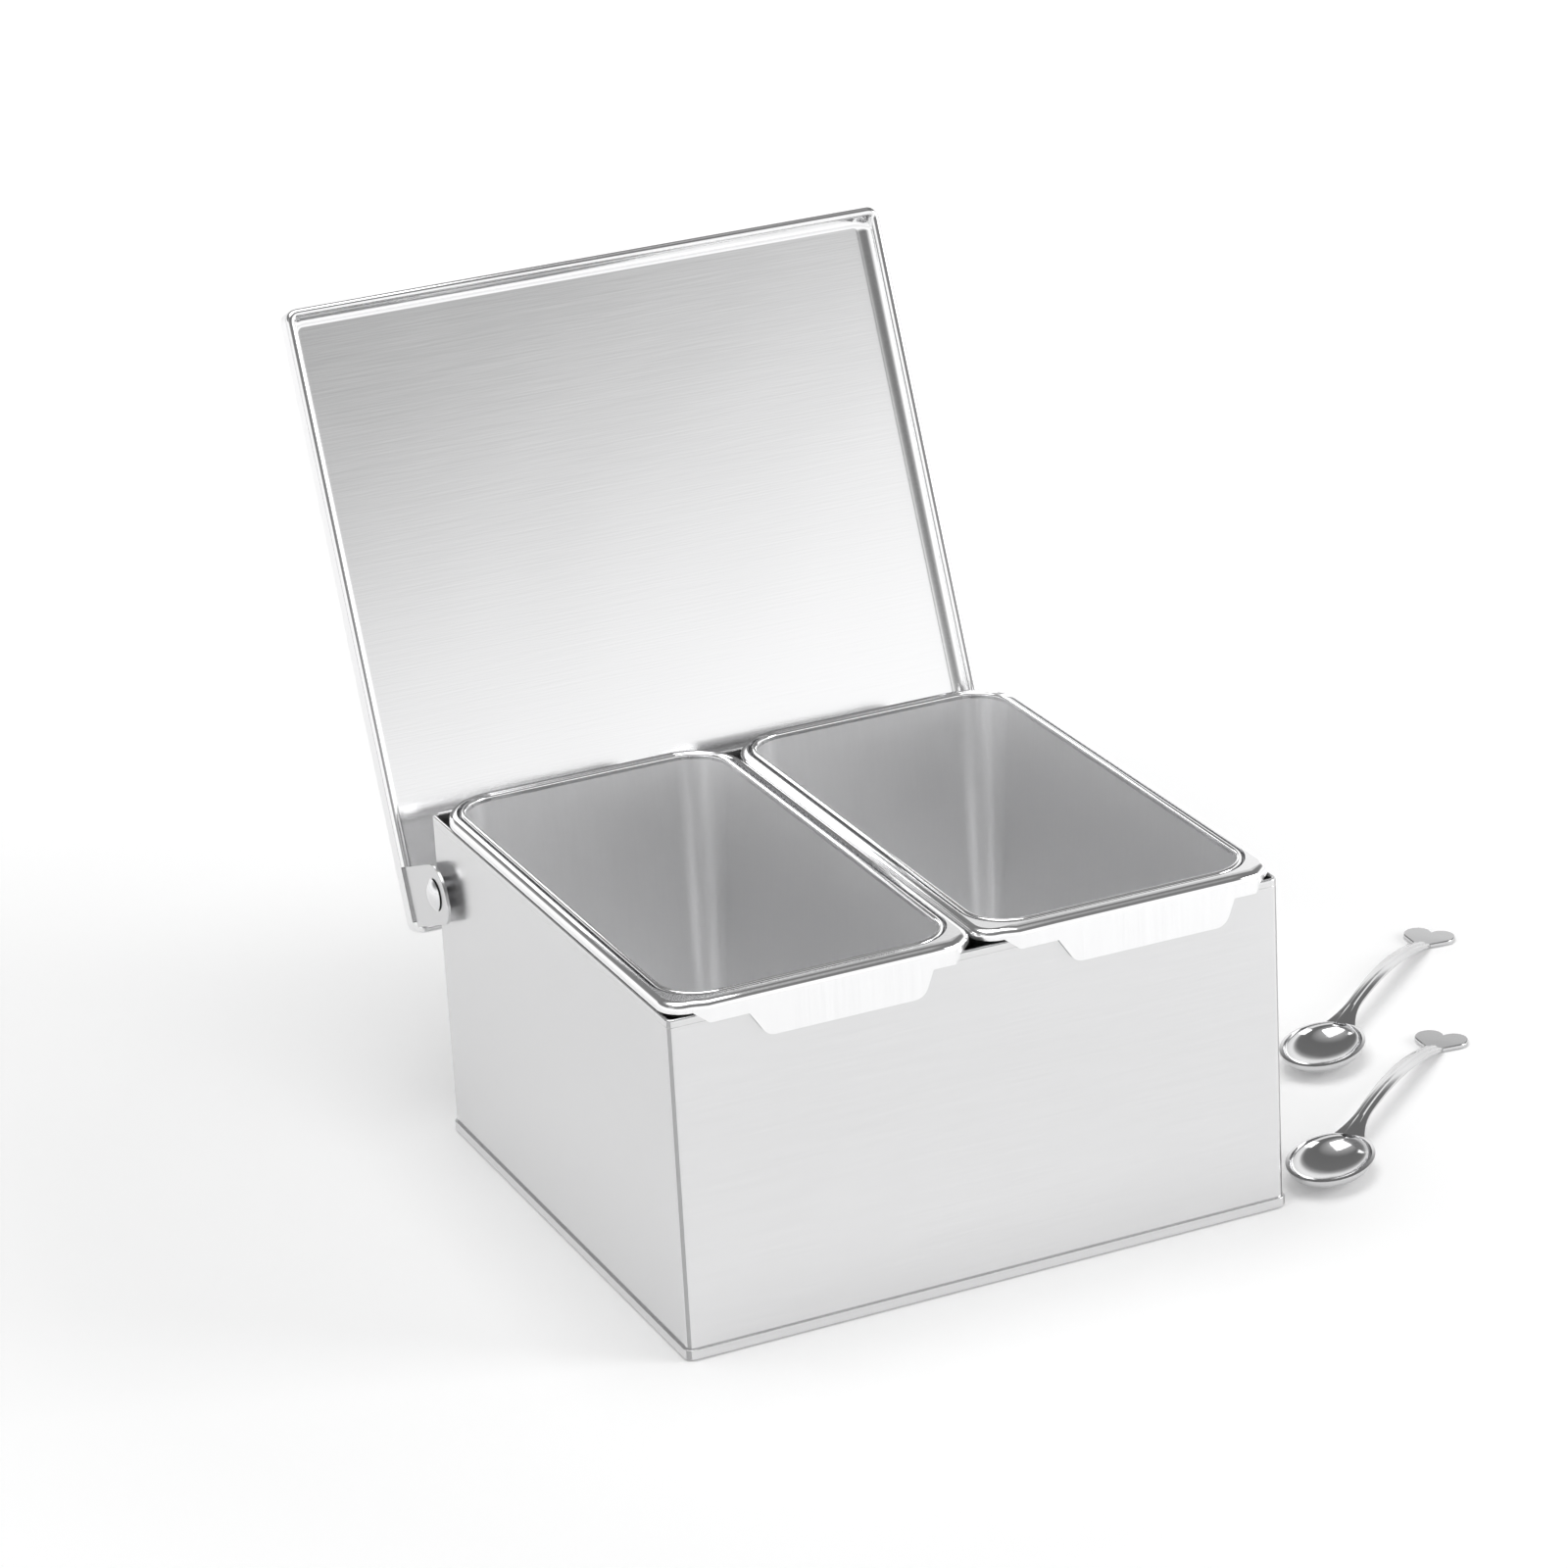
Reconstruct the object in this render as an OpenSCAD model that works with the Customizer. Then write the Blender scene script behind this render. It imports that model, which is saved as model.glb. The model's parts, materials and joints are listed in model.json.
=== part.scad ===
// Bar garnish tray: a sheet steel case with two lift-out pans, a hinged lid and two spoons.
// Units are millimetres. +Z is up, X runs along the front, -Y is the front.
// The origin is the centre of the flat underside of the case.

/* [Case] */
// Outer width of the case, left to right
case_w = 200; // [160:1:260]
// Outer depth of the case, front to rear
case_d = 185; // [150:1:220]
// Height of the case up to the top of its walls
case_h = 109; // [90:1:140]
// Thickness of the sheet of the case
case_sheet = 0.8; // [0.6:0.1:1.2]
// Outer radius of the upright corners of the case
case_corner_r = 2.5; // [2.5:0.1:4]
// Thickness of the folded hem along the top of the walls
hem_t = 2; // [1.6:0.1:2.2]
// Height of the folded hem along the top of the walls
hem_h = 2.5; // [2:0.1:5]
// Height of the lip of the base, which stands outside the walls
base_lip_h = 3.5; // [2:0.1:6]

/* [Pans] */
// Height of the top of the pan rims above the case walls
rim_h = 4.3; // [3.8:0.1:6]
// Width of a pan rim from its outer edge to the opening
rim_w = 5.5; // [5:0.1:8]
// Distance of the rims inside the outer faces of the walls
rim_inset = 0.3; // [0.1:0.1:0.6]
// Clearance between the two pan rims
pan_gap = 0.6; // [0.4:0.1:1.5]
// Thickness of the sheet of the pans
pan_sheet = 0.8; // [0.6:0.1:1]
// Depth of a pan from the top of its rim to its underside
pan_depth = 98; // [70:1:100]
// How far each wall of a pan leans in towards the floor
pan_draft = 5; // [2:0.5:6]
// Corner radius of the opening of a pan
pan_open_r = 13; // [11:0.5:16]
// Corner radius of the rim at the front corners
rim_front_r = 8; // [6:0.5:10]
// Corner radius of the rim at the rear corners
rim_rear_r = 19; // [8:0.5:20]
// Radius of the bend between the rim and the pan wall
rim_bend_r = 2; // [1.5:0.1:2.2]
// Radius of the rounded outer shoulder of the rim
rim_shoulder_r = 2.2; // [1.5:0.1:2.4]

/* [Pull tab] */
// Clearance between the pull tab and the front wall
tab_gap = 0.5; // [0.3:0.1:1.5]
// Left end of the turned down apron, from the middle of the pan
apron_left = 38; // [30:0.5:40]
// Right end of the turned down apron, from the middle of the pan
apron_right = 46.5; // [36:0.5:46.5]
// Drop of the apron below the top of the rim
apron_drop = 7; // [6:0.5:9]
// Drop of the lower edge of the tab below the top of the rim
tab_drop = 14.8; // [14.2:0.2:20]
// Position of the middle of the tab, from the middle of the pan
tab_shift = 4; // [0:0.5:5]
// Width of the tab along its lower edge, before its corners are rounded
tab_w = 46.5; // [36:0.5:50]
// How far the left end of the tab slopes outwards
tab_slope_left = 5.5; // [3:0.5:6]
// How far the right end of the tab slopes outwards
tab_slope_right = 7; // [3:0.5:7]
// Radius of the lower corners of the tab
tab_r = 4.5; // [3:0.5:4.5]

/* [Lid] */
// Angle of the lid from closed in the pose that is shown
lid_open = 112; // [90:1:130]
// Thickness of the sheet of the lid
lid_sheet = 0.8; // [0.6:0.1:1.2]
// Depth of the lid over its flange
lid_depth = 9; // [7:0.5:9]
// Space between the pan rims and the panel of the closed lid
lid_over_rims = 4.1; // [3:0.1:6]
// Distance of the closed lid behind the rear wall
lid_behind = 3.5; // [3.2:0.1:6]
// Distance of the closed lid in front of the front wall
lid_before = 14; // [8:0.5:20]
// Plan radius of the corners of the lid
lid_corner_r = 4; // [3.5:0.1:6]
// Radius of the bend between the panel and the flange of the lid
lid_bend_r = 2; // [1.6:0.1:2.2]
// Diameter of the hem rolled along the edge of the flange
lid_hem_d = 2.2; // [1.6:0.1:2.4]

/* [Hinge] */
// Distance of the hinge axis in front of the rear wall
hinge_inset = 8.5; // [8.5:0.5:14]
// Distance of the hinge axis below the top of the walls
hinge_drop = 23.8; // [20:0.2:30]
// Radius of the rounded end of the hinge ears
ear_r = 9.7; // [8:0.1:9.7]
// Radius of the lower corner at the end of the hinge ears
ear_heel_r = 6; // [3:0.5:8]
// Thickness of the hinge ears
ear_t = 1.2; // [1:0.1:2]
// Diameter of the rivet shank
rivet_d = 4.4; // [3:0.1:6]
// Radial clearance of the rivet in the bore of the ear
rivet_clear = 0.07; // [0.02:0.01:0.09]
// Diameter of the domed rivet head
rivet_head_d = 11; // [9:0.5:13]
// Height of the domed rivet head
rivet_head_h = 2.2; // [1.5:0.1:3]
// Diameter of the flattened rivet tail inside the case
rivet_tail_d = 8; // [7:0.5:10]
// Height of the flattened rivet tail inside the case
rivet_tail_h = 1.2; // [0.8:0.1:1.5]
// Diameter of the spacer between the wall and the ear
spacer_d = 10; // [8:0.5:12]
// Thickness of the spacer between the wall and the ear
spacer_t = 2.4; // [2:0.1:4]
// Side play of an ear between the spacer and the rivet head
ear_play = 0.1; // [0.05:0.01:0.2]

/* [Spoons] */
// Length of a spoon over its bowl, handle and end
spoon_l = 128; // [115:1:150]
// Length of the bowl of a spoon
bowl_l = 36; // [32:0.5:40]
// Width of the bowl of a spoon
bowl_w = 26.5; // [22:0.5:28]
// Depth of the bowl of a spoon
bowl_deep = 6.5; // [5:0.1:8]
// Thickness of the sheet of a spoon
spoon_t = 1.2; // [0.8:0.1:1.5]
// Width of the handle at the bowl
handle_w0 = 4.2; // [3.5:0.1:6]
// Width of the handle at the heart-shaped end
handle_w1 = 6.5; // [5:0.1:8]
// Rise of the arched handle above a straight line
handle_arch = 5; // [3:0.1:7]
// Width of the raised rib along the handle
rib_w = 1.6; // [1:0.1:2.4]
// Height of the rib above the handle
rib_h = 0.5; // [0.3:0.1:0.8]
// Width of the heart-shaped end
heart_w = 18; // [14:0.5:22]
// Length of the heart-shaped end
heart_l = 15.5; // [13.5:0.5:18]
// Thickness of the heart-shaped end
heart_t = 1.5; // [1.2:0.1:2]
// Direction in which the spoons lie, from the front edge of the case
spoon_turn = 40; // [30:1:60]
// Distance of the bowl of the rear spoon from the right wall
spoon_out = 62; // [55:1:90]
// Distance of the bowl of the rear spoon in front of the middle of the case
spoon_fore = 8; // [-20:1:20]
// Distance from the rear spoon to the front spoon across their length
spoon_pitch = 31; // [30:1:45]
// Distance from the rear spoon back to the front spoon along their length
spoon_step = 78; // [40:1:78]

/* [Hidden] */
$fn = 96;
// Segments of the large circles along the spoon handles
fine_fn = 360;
// Overlap of a cutter past the face that it cuts
over = 0.5;

// Rims of the pans
rim_top = case_h + rim_h;
pan_w = (case_w - 2 * rim_inset - pan_gap) / 2;
pan_d = case_d - 2 * rim_inset;
pan_x = (pan_w + pan_gap) / 2;
open_w = pan_w - 2 * rim_w;
open_d = pan_d - 2 * rim_w;

// Pan body: the corners share their centres from the floor up to the opening
body_top = rim_top - rim_bend_r;
floor_r = pan_open_r - pan_draft;
corner_x = open_w / 2 - pan_open_r;
corner_y = open_d / 2 - pan_open_r;
floor_turn_z = rim_top - pan_depth + floor_r + pan_sheet;

// Apron and tab: they hang outside the front wall
tab_out = rim_inset + tab_gap + pan_sheet;
apron_z = rim_top - apron_drop;
tab_z = rim_top - tab_drop;
// The tab reaches up behind the apron edge by this much, so that they are one sheet
tab_join = 0.4;

// Hinge and lid
pivot_y = case_d / 2 - hinge_inset;
pivot_z = case_h - hinge_drop;
ear_in = case_w / 2 + spacer_t + ear_play;
ear_out = ear_in + ear_t;
lid_w = 2 * (ear_out + lid_sheet);
lid_rear = hinge_inset + lid_behind;
lid_front = lid_rear - (lid_behind + case_d + lid_before);
lid_top = hinge_drop + rim_h + lid_over_rims + lid_sheet;
lid_rim = lid_top - lid_depth;
// Clearance of the ears to the hem and to the corners of the lid
ear_clear = 0.3;
ear_foot_top = lid_top - lid_bend_r - ear_clear;
ear_foot_rear = lid_rear - lid_corner_r - ear_clear;
rivet_dome_r = (pow(rivet_head_d / 2, 2) + pow(rivet_head_h, 2)) / (2 * rivet_head_h);

// Spoons
bowl_r = bowl_w / 2;
bowl_ball_r = (pow(bowl_r, 2) + pow(bowl_deep, 2)) / (2 * bowl_deep);
bowl_flat = bowl_l - bowl_w;
// How far the handle runs on inside the edge of the bowl and inside the heart
handle_in_bowl = 1.5;
handle_in_heart = 3;
// The handle is thicker than the bowl by this much
handle_more_t = 0.3;
// How far each lobe of the heart reaches past its middle line
lobe_past = 0.7;
heart_tip_x = spoon_l - bowl_l / 2 - heart_l;
handle_x0 = bowl_l / 2 - handle_in_bowl;
handle_x1 = heart_tip_x + handle_in_heart;
handle_t = spoon_t + handle_more_t;
// Each end of the handle stands proud of what it joins by this much
handle_proud = 0.2;
handle_drop = bowl_deep - heart_t;
handle_run = handle_x1 - handle_x0;
handle_chord = sqrt(pow(handle_run, 2) + pow(handle_drop, 2));
handle_ring_r = (pow(handle_chord / 2, 2) + pow(handle_arch, 2)) / (2 * handle_arch);
handle_fall = atan(handle_drop / handle_run);
lobe_r = (heart_w / 2 + lobe_past) / 2;
spoon_rear_x = case_w / 2 + spoon_out;
spoon_rear_y = -spoon_fore;
spoon_front_x = spoon_rear_x - spoon_step * cos(spoon_turn) + spoon_pitch * sin(spoon_turn);
spoon_front_y = spoon_rear_y - spoon_step * sin(spoon_turn) - spoon_pitch * cos(spoon_turn);

// Plan outline of a rectangle with one radius in front and another at the rear
module outline(w, d, rf, rr) {
    union() {
        translate([-w / 2, -d / 2 + rf])
            square([w, d - rf - rr]);
        translate([-w / 2 + rf, -d / 2])
            square([w - 2 * rf, rf + over]);
        translate([-w / 2 + rr, d / 2 - rr - over])
            square([w - 2 * rr, rr + over]);
        for (s = [-1, 1]) {
            translate([s * (w / 2 - rf), -d / 2 + rf])
                circle(r = rf);
            translate([s * (w / 2 - rr), d / 2 - rr])
                circle(r = rr);
        }
    }
}

// Carries a section once round such an outline: its X points outwards, its Y points up
module round_the_edge(w, d, rf, rr) {
    run_side = d - rf - rr;
    run_front = w - 2 * rf;
    run_rear = w - 2 * rr;
    for (s = [0, 1])
        mirror([s, 0, 0]) {
            translate([w / 2, d / 2 - rr, 0])
                rotate([90, 0, 0])
                    linear_extrude(height = run_side)
                        children();
            translate([w / 2 - rf, -d / 2 + rf, 0])
                rotate([0, 0, -90])
                    rotate_extrude(angle = 90)
                        translate([rf, 0])
                            children();
            translate([w / 2 - rr, d / 2 - rr, 0])
                rotate_extrude(angle = 90)
                    translate([rr, 0])
                        children();
        }
    translate([-run_rear / 2, d / 2, 0])
        rotate([90, 0, 90])
            linear_extrude(height = run_rear)
                children();
    translate([-run_front / 2, -d / 2, 0])
        rotate([90, 0, 90])
            linear_extrude(height = run_front)
                mirror([1, 0])
                    children();
}

// Quarter of a ring of sheet about a bend, between the directions +X and +Y
module bend(r, t) {
    intersection() {
        difference() {
            circle(r = r);
            circle(r = r - t);
        }
        square(r + over);
    }
}

// ---------- Case ----------

module case_shell() {
    inner_r = case_corner_r - case_sheet;
    hem_r = case_corner_r - hem_t;
    color("silver")
        difference() {
            translate([0, 0, case_sheet])
                linear_extrude(height = case_h - case_sheet)
                    outline(case_w, case_d, case_corner_r, case_corner_r);
            linear_extrude(height = case_h - hem_h)
                outline(case_w - 2 * case_sheet, case_d - 2 * case_sheet, inner_r, inner_r);
            linear_extrude(height = case_h + over)
                outline(case_w - 2 * hem_t, case_d - 2 * hem_t, hem_r, hem_r);
            translate([-case_w / 2 - over, pivot_y, pivot_z])
                rotate([0, 90, 0])
                    cylinder(d = rivet_d, h = case_w + 2 * over);
        }
}

module case_base() {
    lip_r = case_corner_r + case_sheet;
    color("silver")
        difference() {
            linear_extrude(height = base_lip_h)
                outline(case_w + 2 * case_sheet, case_d + 2 * case_sheet, lip_r, lip_r);
            translate([0, 0, case_sheet])
                linear_extrude(height = base_lip_h)
                    outline(case_w, case_d, case_corner_r, case_corner_r);
        }
}

// ---------- Pans ----------

// Filled form of the pan body, grown by g beyond its inner face
module pan_form(g) {
    r0 = floor_r + g;
    r1 = pan_open_r + g;
    rise = body_top - floor_turn_z;
    for (sx = [-1, 1])
        for (sy = [-1, 1]) {
            translate([sx * corner_x, sy * corner_y, floor_turn_z])
                cylinder(r1 = r0, r2 = r1, h = rise);
            translate([sx * corner_x, sy * corner_y, floor_turn_z])
                sphere(r = r0);
        }
    for (s = [-1, 1]) {
        translate([s * corner_x, -corner_y, floor_turn_z])
            rotate([-90, 0, 0])
                cylinder(r = r0, h = 2 * corner_y);
        translate([-corner_x, s * corner_y, floor_turn_z])
            rotate([0, 90, 0])
                cylinder(r = r0, h = 2 * corner_x);
    }
    translate([-corner_x, -corner_y, floor_turn_z - r0])
        cube([2 * corner_x, 2 * corner_y, r0 + over]);
    translate([0, corner_y, floor_turn_z])
        rotate([90, 0, 0])
            linear_extrude(height = 2 * corner_y)
                pan_slope(corner_x, r0, r1, rise);
    translate([-corner_x, 0, floor_turn_z])
        rotate([90, 0, 90])
            linear_extrude(height = 2 * corner_x)
                pan_slope(corner_y, r0, r1, rise);
}

// Section across the sloping walls of a pan
module pan_slope(half, r0, r1, rise) {
    polygon([[-half - r0, 0], [half + r0, 0], [half + r1, rise], [-half - r1, rise]]);
}

// Section of the rounded edge and the lip of a rim, which stands on the wall below it
module rim_edge() {
    translate([-rim_shoulder_r, rim_top - rim_shoulder_r])
        bend(rim_shoulder_r, pan_sheet);
    translate([-pan_sheet, case_h])
        square([pan_sheet, rim_top - rim_shoulder_r - case_h]);
}

// Section of the bend from the rim down into the pan
module rim_to_wall() {
    translate([rim_bend_r, body_top])
        mirror([1, 0])
            bend(rim_bend_r, pan_sheet);
}

// Outline of the pull tab in the plane of the apron
module tab_outline() {
    xl = tab_shift - tab_w / 2;
    xr = tab_shift + tab_w / 2;
    drop = apron_z - tab_z;
    al = atan2(drop, -tab_slope_left);
    ar = atan2(drop, tab_slope_right);
    tl = tab_r * tan((180 - al) / 2);
    tr = tab_r * tan(ar / 2);
    zt = apron_z + tab_join;
    union() {
        polygon([
            [xl - tab_slope_left, apron_z],
            [xl + tl * cos(al), tab_z + tl * sin(al)],
            [xl + tl, tab_z],
            [xr - tr, tab_z],
            [xr + tr * cos(ar), tab_z + tr * sin(ar)],
            [xr + tab_slope_right, apron_z],
            [xr + tab_slope_right, zt],
            [xl - tab_slope_left, zt]
        ]);
        translate([xl + tl, tab_z + tab_r])
            circle(r = tab_r);
        translate([xr - tr, tab_z + tab_r])
            circle(r = tab_r);
    }
}

// Section of the apron: it leaves the rim, clears the front wall and turns down outside it
module apron_edge() {
    flat = tab_out;
    translate([-rim_shoulder_r, rim_top - pan_sheet])
        square([flat, pan_sheet]);
    translate([flat - rim_shoulder_r, rim_top - rim_shoulder_r])
        bend(rim_shoulder_r, pan_sheet);
    translate([flat - pan_sheet, apron_z])
        square([pan_sheet, rim_top - rim_shoulder_r - apron_z]);
}

module pan() {
    plate_w = pan_w - 2 * rim_shoulder_r;
    plate_d = pan_d - 2 * rim_shoulder_r;
    front_y = -pan_d / 2;
    difference() {
        union() {
            difference() {
                round_the_edge(pan_w, pan_d, rim_front_r, rim_rear_r)
                    rim_edge();
                translate([-apron_left, front_y - over, case_h - over])
                    cube([apron_left + apron_right, rim_shoulder_r + over, rim_h + 2 * over]);
            }
            translate([0, 0, rim_top - pan_sheet])
                linear_extrude(height = pan_sheet)
                    difference() {
                        outline(plate_w, plate_d, rim_front_r - rim_shoulder_r,
                                rim_rear_r - rim_shoulder_r);
                        outline(open_w + 2 * rim_bend_r, open_d + 2 * rim_bend_r,
                                pan_open_r + rim_bend_r, pan_open_r + rim_bend_r);
                    }
            round_the_edge(open_w, open_d, pan_open_r, pan_open_r)
                rim_to_wall();
            translate([-apron_left, front_y, 0])
                rotate([90, 0, 90])
                    linear_extrude(height = apron_left + apron_right)
                        mirror([1, 0])
                            apron_edge();
            translate([0, front_y - tab_out + pan_sheet, 0])
                rotate([90, 0, 0])
                    linear_extrude(height = pan_sheet)
                        tab_outline();
            pan_form(pan_sheet);
        }
        pan_form(0);
    }
}

module pan_left() {
    color("gainsboro")
        translate([-pan_x, 0, 0])
            pan();
}

module pan_right() {
    color("gainsboro")
        translate([pan_x, 0, 0])
            pan();
}

// ---------- Lid and hinge ----------

// Puts a closed form, drawn about the hinge axis, into the pose that is shown
module at_hinge() {
    translate([0, pivot_y, pivot_z])
        rotate([-lid_open, 0, 0])
            children();
}

// Section of the bend, the flange and the rolled hem of the lid
module lid_edge() {
    translate([-lid_bend_r, lid_top - lid_bend_r])
        bend(lid_bend_r, lid_sheet);
    translate([-lid_sheet, lid_rim + lid_hem_d / 2])
        square([lid_sheet, lid_depth - lid_bend_r - lid_hem_d / 2]);
    translate([-lid_hem_d / 2, lid_rim + lid_hem_d / 2])
        circle(d = lid_hem_d);
}

module lid() {
    lid_l = lid_rear - lid_front;
    panel_r = lid_corner_r - lid_bend_r;
    notch_l = ear_foot_rear + ear_r + 2 * ear_clear;
    color("silver")
        at_hinge()
            difference() {
                translate([0, (lid_rear + lid_front) / 2, 0]) {
                    round_the_edge(lid_w, lid_l, lid_corner_r, lid_corner_r)
                        lid_edge();
                    translate([0, 0, lid_top - lid_sheet])
                        linear_extrude(height = lid_sheet)
                            outline(lid_w - 2 * lid_bend_r, lid_l - 2 * lid_bend_r, panel_r, panel_r);
                }
                for (s = [0, 1])
                    mirror([s, 0, 0])
                        translate([ear_out - lid_hem_d, -ear_r - ear_clear, lid_rim - over])
                            cube([lid_hem_d, notch_l, lid_hem_d + 2 * over]);
            }
}

// Outline of an ear about the hinge axis, seen from the side: X to the rear, Y up
module ear_outline() {
    hem_low = lid_rim - ear_clear;
    union() {
        translate([-ear_r, 0])
            square([2 * ear_r, hem_low]);
        translate([-ear_r, 0])
            square([ear_r + ear_foot_rear, ear_foot_top]);
        intersection() {
            circle(r = ear_r);
            translate([-ear_r - over, -ear_r - over])
                square([ear_r + over, ear_r + over]);
        }
        translate([0, -ear_r])
            square([ear_r - ear_heel_r, ear_r]);
        translate([0, -ear_r + ear_heel_r])
            square([ear_r, ear_r - ear_heel_r]);
        translate([ear_r - ear_heel_r, -ear_r + ear_heel_r])
            circle(r = ear_heel_r);
    }
}

module ear(side) {
    color("darkgray")
        at_hinge()
            mirror([side, 0, 0])
                translate([ear_in, 0, 0])
                    rotate([90, 0, 90])
                        linear_extrude(height = ear_t)
                            difference() {
                                ear_outline();
                                circle(d = rivet_d + 2 * rivet_clear);
                            }
}

module ear_left() {
    ear(1);
}

module ear_right() {
    ear(0);
}

module rivet(side) {
    head_x = ear_out + ear_play;
    tail_x = case_w / 2 - case_sheet;
    color("gainsboro")
        translate([0, pivot_y, pivot_z])
            mirror([side, 0, 0])
                rotate([0, 90, 0]) {
                    translate([0, 0, tail_x - rivet_tail_h])
                        cylinder(d = rivet_tail_d, h = rivet_tail_h);
                    translate([0, 0, tail_x - rivet_tail_h])
                        cylinder(d = rivet_d, h = head_x - tail_x + rivet_tail_h + rivet_head_h / 2);
                    intersection() {
                        translate([0, 0, head_x + rivet_head_h - rivet_dome_r])
                            sphere(r = rivet_dome_r);
                        translate([0, 0, head_x])
                            cylinder(d = rivet_head_d + 2 * over, h = rivet_head_h + over);
                    }
                }
}

module rivet_left() {
    rivet(1);
}

module rivet_right() {
    rivet(0);
}

module spacer(side) {
    color("darkgray")
        translate([0, pivot_y, pivot_z])
            mirror([side, 0, 0])
                rotate([0, 90, 0])
                    difference() {
                        translate([0, 0, case_w / 2])
                            cylinder(d = spacer_d, h = spacer_t);
                        translate([0, 0, case_w / 2 - over])
                            cylinder(d = rivet_d, h = spacer_t + 2 * over);
                    }
}

module spacer_left() {
    spacer(1);
}

module spacer_right() {
    spacer(0);
}

// ---------- Spoons ----------

// Filled form of the bowl: two half balls and a trough between them
module bowl_form(r) {
    for (s = [-1, 1])
        translate([s * bowl_flat / 2, 0, bowl_ball_r])
            sphere(r = r);
    translate([-bowl_flat / 2, 0, bowl_ball_r])
        rotate([0, 90, 0])
            cylinder(r = r, h = bowl_flat);
}

module bowl() {
    intersection() {
        difference() {
            bowl_form(bowl_ball_r);
            bowl_form(bowl_ball_r - spoon_t);
        }
        translate([-bowl_l, -bowl_w, -over])
            cube([2 * bowl_l, 2 * bowl_w, bowl_deep + over]);
    }
}

// Arched strip along the handle, seen from the side, with its top raised by up
module handle_side(t, up) {
    translate([handle_x0, bowl_deep + handle_proud])
        rotate(-handle_fall)
            intersection() {
                translate([handle_chord / 2, handle_arch - handle_ring_r])
                    difference() {
                        circle(r = handle_ring_r + up, $fn = fine_fn);
                        circle(r = handle_ring_r - t, $fn = fine_fn);
                    }
                translate([0, -bowl_deep])
                    square([handle_chord, 2 * bowl_deep + handle_arch]);
            }
}

module handle() {
    intersection() {
        translate([0, heart_w / 2, 0])
            rotate([90, 0, 0])
                linear_extrude(height = heart_w)
                    handle_side(handle_t, 0);
        linear_extrude(height = spoon_l)
            polygon([
                [handle_x0 - over, -handle_w0 / 2],
                [handle_x1 + over, -handle_w1 / 2],
                [handle_x1 + over, handle_w1 / 2],
                [handle_x0 - over, handle_w0 / 2]
            ]);
    }
    translate([0, rib_w / 2, 0])
        rotate([90, 0, 0])
            linear_extrude(height = rib_w)
                handle_side(handle_t / 2, rib_h);
}

module heart() {
    lobe_x = heart_tip_x + heart_l - lobe_r;
    lobe_y = heart_w / 2 - lobe_r;
    reach = lobe_x - heart_tip_x;
    span = sqrt(pow(reach, 2) + pow(lobe_y, 2));
    side = atan2(lobe_y, reach) + asin(lobe_r / span);
    touch_x = heart_tip_x + sqrt(pow(span, 2) - pow(lobe_r, 2)) * cos(side);
    touch_y = sqrt(pow(span, 2) - pow(lobe_r, 2)) * sin(side);
    linear_extrude(height = heart_t)
        union() {
            for (s = [-1, 1])
                translate([lobe_x, s * lobe_y])
                    circle(r = lobe_r);
            polygon([[heart_tip_x, 0], [touch_x, -touch_y], [lobe_x, -lobe_y], [lobe_x, lobe_y],
                     [touch_x, touch_y]]);
        }
}

// A spoon lying on the surface: its bowl about the origin, its handle along +X
module spoon() {
    color("gainsboro")
        union() {
            bowl();
            handle();
            heart();
        }
}

module spoon_front() {
    translate([spoon_front_x, spoon_front_y, 0])
        rotate([0, 0, spoon_turn])
            spoon();
}

module spoon_rear() {
    translate([spoon_rear_x, spoon_rear_y, 0])
        rotate([0, 0, spoon_turn])
            spoon();
}

case_shell();
case_base();
rivet_left();
rivet_right();
spacer_left();
spacer_right();
pan_left();
pan_right();
lid();
ear_left();
ear_right();
spoon_front();
spoon_rear();
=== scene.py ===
# %% [markdown]
# # Bar garnish tray in sheet steel
#
# A counter box for cut fruit, olives and other garnish: a folded case, two drawn pans that
# lift out, a shallow lid on riveted ears, and two small spoons with heart-shaped ends.
# Everything is thin stainless sheet, so the lesson is mostly about one thing: draw the
# section of a bent sheet once, carry it round an outline, and give it its thickness.
#
# The imported model is the frame.

# %% Frame
import bpy
import json
import math
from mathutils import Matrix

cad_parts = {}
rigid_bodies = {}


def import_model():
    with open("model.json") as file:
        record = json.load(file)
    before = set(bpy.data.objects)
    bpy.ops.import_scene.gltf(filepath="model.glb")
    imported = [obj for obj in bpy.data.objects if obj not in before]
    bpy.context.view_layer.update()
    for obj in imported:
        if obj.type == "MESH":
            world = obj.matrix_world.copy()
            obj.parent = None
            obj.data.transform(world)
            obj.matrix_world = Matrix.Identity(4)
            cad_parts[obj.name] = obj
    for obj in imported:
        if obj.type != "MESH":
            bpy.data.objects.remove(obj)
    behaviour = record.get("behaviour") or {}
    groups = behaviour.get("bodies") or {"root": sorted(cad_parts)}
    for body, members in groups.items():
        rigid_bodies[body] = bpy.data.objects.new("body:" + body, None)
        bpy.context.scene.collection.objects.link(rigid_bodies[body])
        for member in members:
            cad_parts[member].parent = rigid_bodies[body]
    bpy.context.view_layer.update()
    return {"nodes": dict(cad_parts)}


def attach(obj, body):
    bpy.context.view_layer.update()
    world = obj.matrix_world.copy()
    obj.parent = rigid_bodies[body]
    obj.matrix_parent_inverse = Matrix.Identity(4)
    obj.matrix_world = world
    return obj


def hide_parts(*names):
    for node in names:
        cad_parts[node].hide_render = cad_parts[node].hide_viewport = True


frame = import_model()
print("nodes:", sorted(frame["nodes"]))

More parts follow.
